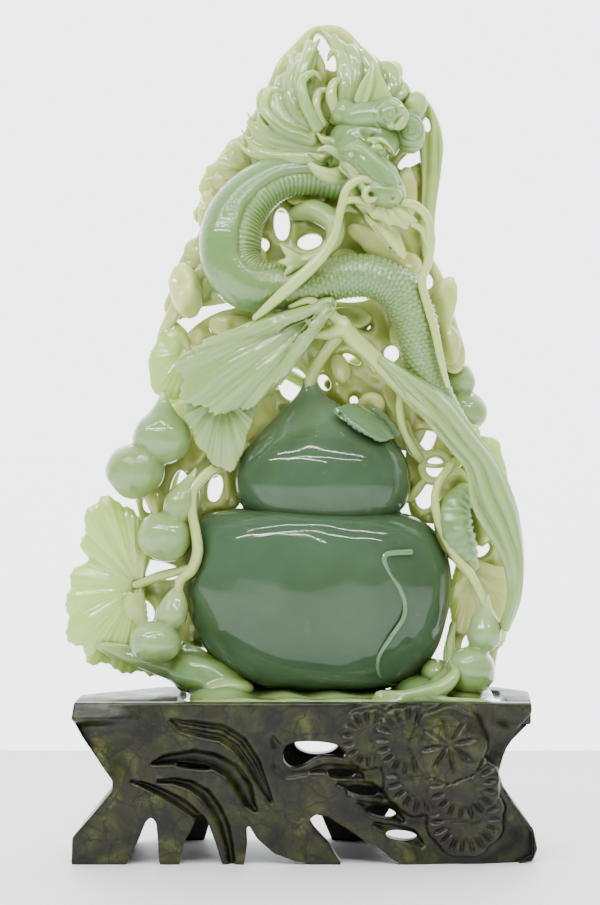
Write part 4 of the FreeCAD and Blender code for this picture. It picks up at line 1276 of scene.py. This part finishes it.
class JADE_OT_small_gourds(bpy.types.Operator):
    """The five small gourds that hang on the vines"""

    bl_idname = "jade.small_gourds"
    bl_label = "Small gourds"

    def execute(self, context):
        for name, (low, low_radii, high, high_radii, tip) in SMALL.items():
            lean = Vector(tip) - Vector(high)
            top = high_radii[2]
            steps = [(*(Vector(high) + lean * t), top * r) for t, r in
                     ((-0.1, 0.95), (0.35, 0.88), (0.7, 0.55), (1.0, 0.26), (1.25, 0.13))]
            gourd = melted([lump(low, low_radii), lump(high, high_radii), rod(steps, 30, 24)], 0.6, 8)
            pushed(gourd, lambda place, normal: normal * (0.9 * wavy(place, 13,
                                                                     2) + 0.35 * wavy(place, 6, 7)))
            finished(gourd, name.replace("small_gourd", "little_gourd"), [name], stone("fruit"))
        return {"FINISHED"}


class JADE_OT_vines(bpy.types.Operator):
    """The vines in front, at both sides and behind, with their small ring"""

    bl_idname = "jade.vines"
    bl_label = "Vines"

    def execute(self, context):
        for name, (nodes, strands) in RODS.items():
            rods = [rod(points, 20 * len(points), 16, lambda u, a: 1 + 0.06 * math.sin(3 * a + 9 * u))
                    for points in strands]
            vine = melted(rods, 0.7, 2) if len(rods) > 1 else rods[0]
            finished(vine, name, nodes, stone("pale"))
        ring = [(71 + 7.5 * math.cos(a), -4 + math.sin(a), 199 + 7.5 * math.sin(a), 2.4)
                for a in [k * 2 * math.pi / 12 for k in range(13)]]
        parts = [rod(ring, 60, 12), rod([(64, -4, 200.5, 1.5), (71, -5, 199.5, 1.3), (78, -4, 200.5, 1.5)],
                                        12, 10),
                 rod([(66, -4, 205, 2), (58, -4, 213, 3), (56, -4, 222, 2)], 16, 12),
                 rod([(66, -4, 193, 2), (60, -4, 186, 3), (56, -6, 182, 2)], 16, 12)]
        finished(melted(parts, 0.6, 3), "vine_loop", ["vine_ring"], stone("pale"))
        return {"FINISHED"}


# ---- the pierced ground and the rock -------------------------------------------------------------

# name: (node, outline, holes, raised strands of (x, z, half width))
GROUNDS = {
    "ground_at_left": ("ground_left", [
        (-60, 234), (-43, 221), (-31, 207), (-30, 180), (-45, 172), (-51, 151), (-55, 130),
        (-48, 106), (-40, 92), (-67, 90), (-82, 101), (-87, 122), (-93, 146), (-83, 170),
        (-86, 192), (-77, 216)], [[(-61, 198), (-57, 192), (-58, 183), (-62, 180), (-66, 184), (-65, 192)],
                                  oval(-43, 188, 3.6, 7.5, -12),
         [(-81, 151), (-63, 147), (-64, 141), (-78, 142), (-82, 144)], oval(-80, 124, 5, 6.5, 30),
         oval(-57, 100, 5, 4, -20), oval(-77, 180, 3.6, 5, 0), oval(-45, 211, 3, 3)],
        [[(-40, 215, 3), (-50, 200, 4), (-54, 180, 3), (-50, 160, 3), (-56, 140, 4), (-66, 120, 4)],
         [(-78, 214, 4), (-74, 196, 3), (-72, 172, 4), (-86, 150, 3)]]),
    "ground_at_right": ("ground_right", [
        (61, 248), (80, 233), (96, 214), (106, 188), (110, 155), (108, 122), (103, 100), (100, 86), (79, 86),
        (75, 102), (82, 130), (82, 154), (74, 168), (58, 175), (56, 218)],
        [[(60, 217), (71, 217), (70, 211), (66, 206), (62, 210)], oval(71, 199, 4.8, 4.8),
         oval(81, 201, 4.2, 2.8, 15), [(66, 190), (69, 192), (70, 183), (66, 177), (61, 182)],
         oval(88, 106, 3.2, 7, -10), oval(95, 156, 5, 3, 35), oval(66, 226, 3, 2)],
        [[(64, 240, 4), (74, 224, 3), (84, 208, 4), (92, 186, 4), (96, 160, 4)],
         [(62, 190, 3), (74, 180, 4), (80, 166, 4), (92, 130, 5), (90, 104, 4)]]),
    "ground_at_middle": ("ground_middle", [
        (-62, 262), (-43, 279), (-15, 284), (10, 289), (18, 285.5), (32, 285), (44, 288),
        (56, 282), (70, 264), (73, 240), (62, 209), (46, 211), (34, 219), (20, 227), (8, 226), (-10, 222),
        (-22, 213), (-33, 203), (-48, 214), (-60, 236)],
        [oval(-2.5, 242, 7.5, 8.5, 8), oval(-5, 257, 4, 2.6, 10), oval(-31, 272, 4, 3.6),
         oval(13.5, 243, 3, 4.8, 25), oval(28, 255, 6, 1.9, -30), oval(29, 233.5, 2.2, 3, 0),
         oval(36, 272, 2.4, 1.8), oval(48.5, 258, 4, 4.2), oval(59, 240, 2.4, 6.5, 28),
         oval(-40, 226, 3, 5, 30)],
        [[(-50, 268, 4), (-30, 262, 5), (-16, 262, 4), (-16, 240, 4)],
         [(8, 280, 5), (24, 274, 4), (40, 264, 4)], [(20, 250, 5), (22, 238, 4), (30, 226, 4)],
         [(40, 248, 5), (54, 248, 4), (66, 254, 4)], [(44, 236, 4), (52, 222, 4)]]),
    "ground_at_top": ("ground_top", [
        (6, 427), (14, 429), (24, 427), (36, 415), (50, 405), (62, 391), (70, 381), (74, 365),
        (71, 343), (69, 312), (75, 299), (82, 276), (87, 258), (84, 248), (76, 250), (66, 270), (48, 290),
        (17, 294), (-15, 288), (-43, 283), (-58, 280), (-66, 270), (-73, 268), (-66, 286), (-62, 306),
        (-52, 320), (-47, 343), (-40, 358), (-30, 369), (-25, 380), (-17, 394), (-11, 409), (-2, 419)],
        [oval(-8.5, 325, 3.8, 8.5, 4), oval(-19, 314, 4, 3.6), oval(6, 316, 6.5, 3.6, 12),
         oval(0, 330, 2.4, 2.4), [(9, 424), (13, 422), (18, 413), (21, 406), (16, 405), (11, 411), (8, 418)],
         [(52, 356), (58, 362), (66, 366), (69, 362), (62, 357), (53, 353)], oval(67, 376, 2.2, 4.6, 8),
         oval(-58, 287, 3.4, 2.4, -15), oval(66, 296, 3.4, 5, 30)],
        [[(-20, 376, 5), (-10, 392, 4), (0, 410, 4)], [(-52, 300, 6), (-56, 286, 5), (-62, 276, 4)],
         [(-20, 322, 5), (-8, 312, 4), (4, 308, 5), (20, 312, 6)], [(72, 300, 5), (76, 286, 5), (78, 266, 5)],
         [(30, 400, 5), (44, 396, 5), (60, 380, 4)]]),
}
# Swellings on each ground: (centre, radii, turn about Y)
SWELLINGS = {
    "ground_at_left": [((-52, -3, 210), (7, 6, 14), 30), ((-62, -2, 160), (8, 5, 9), 0),
                       ((-52, -2, 122), (5, 5, 13), 10), ((-74, -3, 182), (5, 5, 10), -20)],
    "ground_at_right": [((80, -6, 187), (8, 8, 12), 10), ((92, -3, 172), (7, 5, 14), -15),
                        ((70, -4, 230), (7, 6, 8), 0), ((98, -1, 118), (8, 4, 16), 0),
                        ((88, -4, 214), (6, 5, 8), 30)],
    "ground_at_middle": [((-30, -5, 270), (16, 6, 7), 12), ((38, -5, 231), (7, 6, 7), 0),
                         ((26, -5, 276), (12, 6, 6), 0), ((-14, -3, 246), (6, 5, 9), 20),
                         ((56, -5, 268), (9, 7, 8), 0), ((22, -4, 250), (5, 5, 8), -20),
                         ((-50, -3, 250), (9, 5, 9), 0)],
    "ground_at_top": [((-58, -7, 290), (8, 8, 14), -12), ((43, -10, 312), (11, 7, 6), 20),
                      ((56, -8, 303), (8, 7, 7), 0), ((34, -8, 318), (10, 7, 5), 30),
                      ((24, -5, 306), (9, 6, 6), 0), ((56, -5, 340), (6, 5, 14), 0),
                      ((76, -3, 284), (6, 6, 14), 12), ((-47, -4, 330), (5, 5, 12), 0),
                      ((46, -6, 400), (7, 5, 10), 40), ((-14, -3, 384), (7, 5, 12), -20),
                      ((4, -6, 338), (10, 6, 5), 0), ((-22, -6, 306), (6, 6, 8), 0),
                      ((78, -4, 262), (6, 6, 10), 0), ((8, -4, 400), (7, 4, 14), 0)],
}


class JADE_OT_ground(bpy.types.Operator):
    """The pierced ground behind the dragon, the gourd and the leaves"""

    bl_idname = "jade.ground"
    bl_label = "Pierced ground"

    def execute(self, context):
        for seed, (name, (node, outline, holes, strands)) in enumerate(GROUNDS.items()):
            slab = plate(outline, holes, -0.5, 9.5, steps=240)
            swellings = [lump(centre, (1.1 * r, 0.5 * d, 1.1 * h), (0, turn, 0))
                         for centre, (r, d, h), turn in SWELLINGS[name]]
            ground = joined([slab] + swellings)
            rims = []
            for hole in holes:
                cx, cz = sum(p[0] for p in hole) / len(hole), sum(p[1] for p in hole) / len(hole)
                reach = max(math.hypot(p[0] - cx, p[1] - cz) for p in hole) + 7
                rims.append(((cx, cz, reach), [(*p, 1) for p in hole + hole[:1]]))
            reskinned(ground, 1.1, 0)

            def worked(place, normal):
                x, y, z = place
                facing = -1 if y < 4.5 else 1
                spot = (x, facing * 40, z)
                rise = 3.2 * wavy(spot, 17, seed) + 1.6 * wavy(spot, 7, seed + 5)
                rise += 0.8 * math.sin(0.55 * x + 0.3 * z + 5 * wavy(spot, 28, seed + 2))
                for (cx, cz, reach), rim in rims:
                    if math.hypot(x - cx, z - cz) < reach:
                        d, _ = off_line(x, z, rim)
                        rise += 2.6 * math.exp(-((d - 2.2) / 2.2) ** 2)
                for strand in strands:
                    d, w = off_line(x, z, strand)
                    if d < w * 1.3:
                        rise += 3.4 * (1 - smooth(d / (w * 1.3)))
                return Vector((0, facing * rise * abs(normal.y), 0))

            pushed(ground, worked)
            apply(ground, "SMOOTH", factor=0.5, iterations=18)
            finished(ground, name, [node], stone("ground"))
        return {"FINISHED"}


class JADE_OT_rock(bpy.types.Operator):
    """The carving's foot, with its low waves at both ends"""

    bl_idname = "jade.rock"
    bl_label = "Rock foot"

    def execute(self, context):
        rock = stone("rock")
        foot = [plate([(-57, 76.1), (-58, 79), (-52, 81.5), (-30, 82), (0, 82), (40, 82), (60, 82),
                       (76, 82.5), (92, 82), (101, 80), (102, 76.1)], [], -45, 32)]
        foot += [lump((-38, -6, 82), (20, 30, 8)), lump((66, -8, 84), (18, 26, 10)),
                 lump((84, -12, 81), (16, 22, 7)), lump((12, -6, 81), (44, 34, 5)),
                 rod([(40, -38, 84, 3), (56, -41, 83, 4), (72, -39, 87, 4), (80, -34, 94, 3),
                      (78, -28, 100, 2)], 30, 14),
                 rod([(70, -30, 88, 4), (78, -22, 96, 4), (78, -14, 108, 3.4), (80, -6, 118, 3)], 30, 14)]
        foot = melted(foot, 1.1, 6)

        def lined(place, normal):
            x, y, z = place
            if z < 80:
                return Vector((0, 0, 0))
            wave = math.sin((x * 0.16 + y * 0.1) + 2.4 * math.sin(x * 0.04)) * 0.8
            return normal * (wave + 0.5 * wavy(place, 12, 6)) * between(80, 84, z)

        pushed(foot, lined)
        finished(foot, "rock_foot", ["rock_base"], rock)

        waves = [plate([(-104, 106), (-98, 101), (-86, 97), (-74, 93), (-64, 88), (-58, 82.2), (-24, 82.2),
                        (-26, 90), (-36, 98), (-48, 105), (-58, 109), (-72, 104), (-88, 108), (-100, 110)],
                       [], -14, 6),
                 lump((-47, -14, 92), (22, 13, 10), (0, 12, 0)), lump((-66, -11, 97), (22, 9, 7), (0, 16, 0)),
                 lump((-84, -7, 101), (18, 6, 5), (0, 14, 0)), lump((-36, -20, 86), (14, 12, 6))]
        waves = melted(waves, 0.9, 30)

        def floor_clear(place, normal):
            lift = max(0.0, 82.2 - place.z)
            ribs = 0.5 * math.sin(place.z * 0.6 + place.x * 0.25 + 3 * wavy(place, 34, 4))
            return Vector((0, 0, lift)) + normal * (ribs + 0.6 * wavy(place, 8, 9)) * (0 if lift else 1)

        pushed(waves, floor_clear)
        finished(waves, "rock_wave_near", ["rock_wave_left"], stone("mid"))
        knob = melted([lump((70, -14, 93), (8, 14, 8)), lump((74, -4, 90), (7, 12, 7))], 0.9, 3)
        finished(knob, "rock_wave_far", ["rock_wave_right"], rock)
        return {"FINISHED"}


# ---- the stage -----------------------------------------------------------------------------------

class JADE_OT_stage(bpy.types.Operator):
    """The pale floor, the sky that brightens towards the back, the lamps and the camera"""

    bl_idname = "jade.stage"
    bl_label = "Stage"

    def execute(self, context):
        white = Nodes("stage white")
        white.shader.inputs["Base Color"].default_value = (0.93, 0.93, 0.93, 1)
        white.shader.inputs["Roughness"].default_value = 0.5
        bpy.ops.object.select_all(action="DESELECT")
        bpy.ops.mesh.primitive_plane_add(size=1)
        floor = bpy.context.object
        floor.name = "floor"
        floor.scale = (5, 3, 1)
        floor.location = (0, -0.94, 0)
        settle(floor)
        floor.data.materials.append(white.material)

        world = bpy.data.worlds.new("studio")
        world.use_nodes = True
        tree = world.node_tree
        background = tree.nodes["Background"]
        background.inputs[0].default_value = (0.96, 0.98, 1.0, 1)
        way = tree.nodes.new("ShaderNodeTexCoord").outputs["Generated"]
        facing = tree.nodes.new("ShaderNodeVectorMath")
        facing.operation = "DOT_PRODUCT"
        facing.inputs[1].default_value = (0, 0.98, 0.2)
        tree.links.new(way, facing.inputs[0])
        strength = tree.nodes.new("ShaderNodeMapRange")
        for socket, value in (("From Min", 0.0), ("From Max", 0.98), ("To Min", 0.52), ("To Max", 4.2)):
            strength.inputs[socket].default_value = value
        tree.links.new(facing.outputs["Value"], strength.inputs["Value"])
        tree.links.new(strength.outputs["Result"], background.inputs[1])
        context.scene.world = world
        self.lamp("key", (-0.6, -1.0, 1.1), (0, 0, 0.2), (1.6, 0.02), 12)
        self.lamp("tube_near", (0.05, -1.15, 1.35), (0, 0, 0.2), (2.4, 0.02), 16)
        self.lamp("tube_far", (0.0, -0.7, 1.5), (0, 0, 0.2), (2.4, 0.02), 16)
        self.lamp("back", (0.1, 0.55, 1.1), (0, 0, 0.25), (0.9, 0.35), 8)

        camera = bpy.data.objects.new("camera", bpy.data.cameras.new("camera"))
        context.scene.collection.objects.link(camera)
        camera.location = (0.002, -1.555, 0.1965)
        camera.rotation_euler = (math.radians(90), 0, 0)
        camera.data.lens = 119.3
        camera.data.sensor_width = 36
        camera.data.sensor_height = 36
        camera.data.shift_x = -0.0022
        camera.data.shift_y = 0.0215
        context.scene.camera = camera
        return {"FINISHED"}

    @staticmethod
    def lamp(name, place, aim, size, power):
        """An oblong lamp of size metres and power watts that shines at aim."""
        light = bpy.data.lights.new(name, "AREA")
        light.shape = "RECTANGLE"
        light.size, light.size_y = size
        light.energy = power
        obj = bpy.data.objects.new(name, light)
        bpy.context.scene.collection.objects.link(obj)
        obj.location = place
        obj.rotation_euler = (Vector(aim) - Vector(place)).to_track_quat("-Z", "Y").to_euler()


# ---- the panel -----------------------------------------------------------------------------------

STEPS = [JADE_OT_gourd, JADE_OT_stand, JADE_OT_dragon, JADE_OT_leaves, JADE_OT_small_gourds, JADE_OT_vines,
         JADE_OT_ground, JADE_OT_rock, JADE_OT_stage]


class JADE_PT_carving(bpy.types.Panel):
    """Buttons that carve each group of pieces"""

    bl_idname = "JADE_PT_carving"
    bl_label = "Jade Carving"
    bl_space_type = "VIEW_3D"
    bl_region_type = "UI"
    bl_category = "Jade Carving"

    def draw(self, context):
        for step in STEPS:
            self.layout.operator(step.bl_idname)
        for group in (context.scene.jade_colours, context.scene.jade_sizes):
            for name in group.bl_rna.properties.keys():
                if name not in ("rna_type", "name"):
                    self.layout.prop(group, name)


CLASSES = [JadeColours, JadeSizes, *STEPS, JADE_PT_carving]


def register():
    for each in CLASSES:
        bpy.utils.register_class(each)
    bpy.types.Scene.jade_colours = bpy.props.PointerProperty(type=JadeColours)
    bpy.types.Scene.jade_sizes = bpy.props.PointerProperty(type=JadeSizes)


def unregister():
    del bpy.types.Scene.jade_sizes
    del bpy.types.Scene.jade_colours
    for each in reversed(CLASSES):
        bpy.utils.unregister_class(each)


def main():
    register()
    for step in STEPS:
        group, name = step.bl_idname.split(".")
        getattr(getattr(bpy.ops, group), name)()


if __name__ == "__main__":
    main()
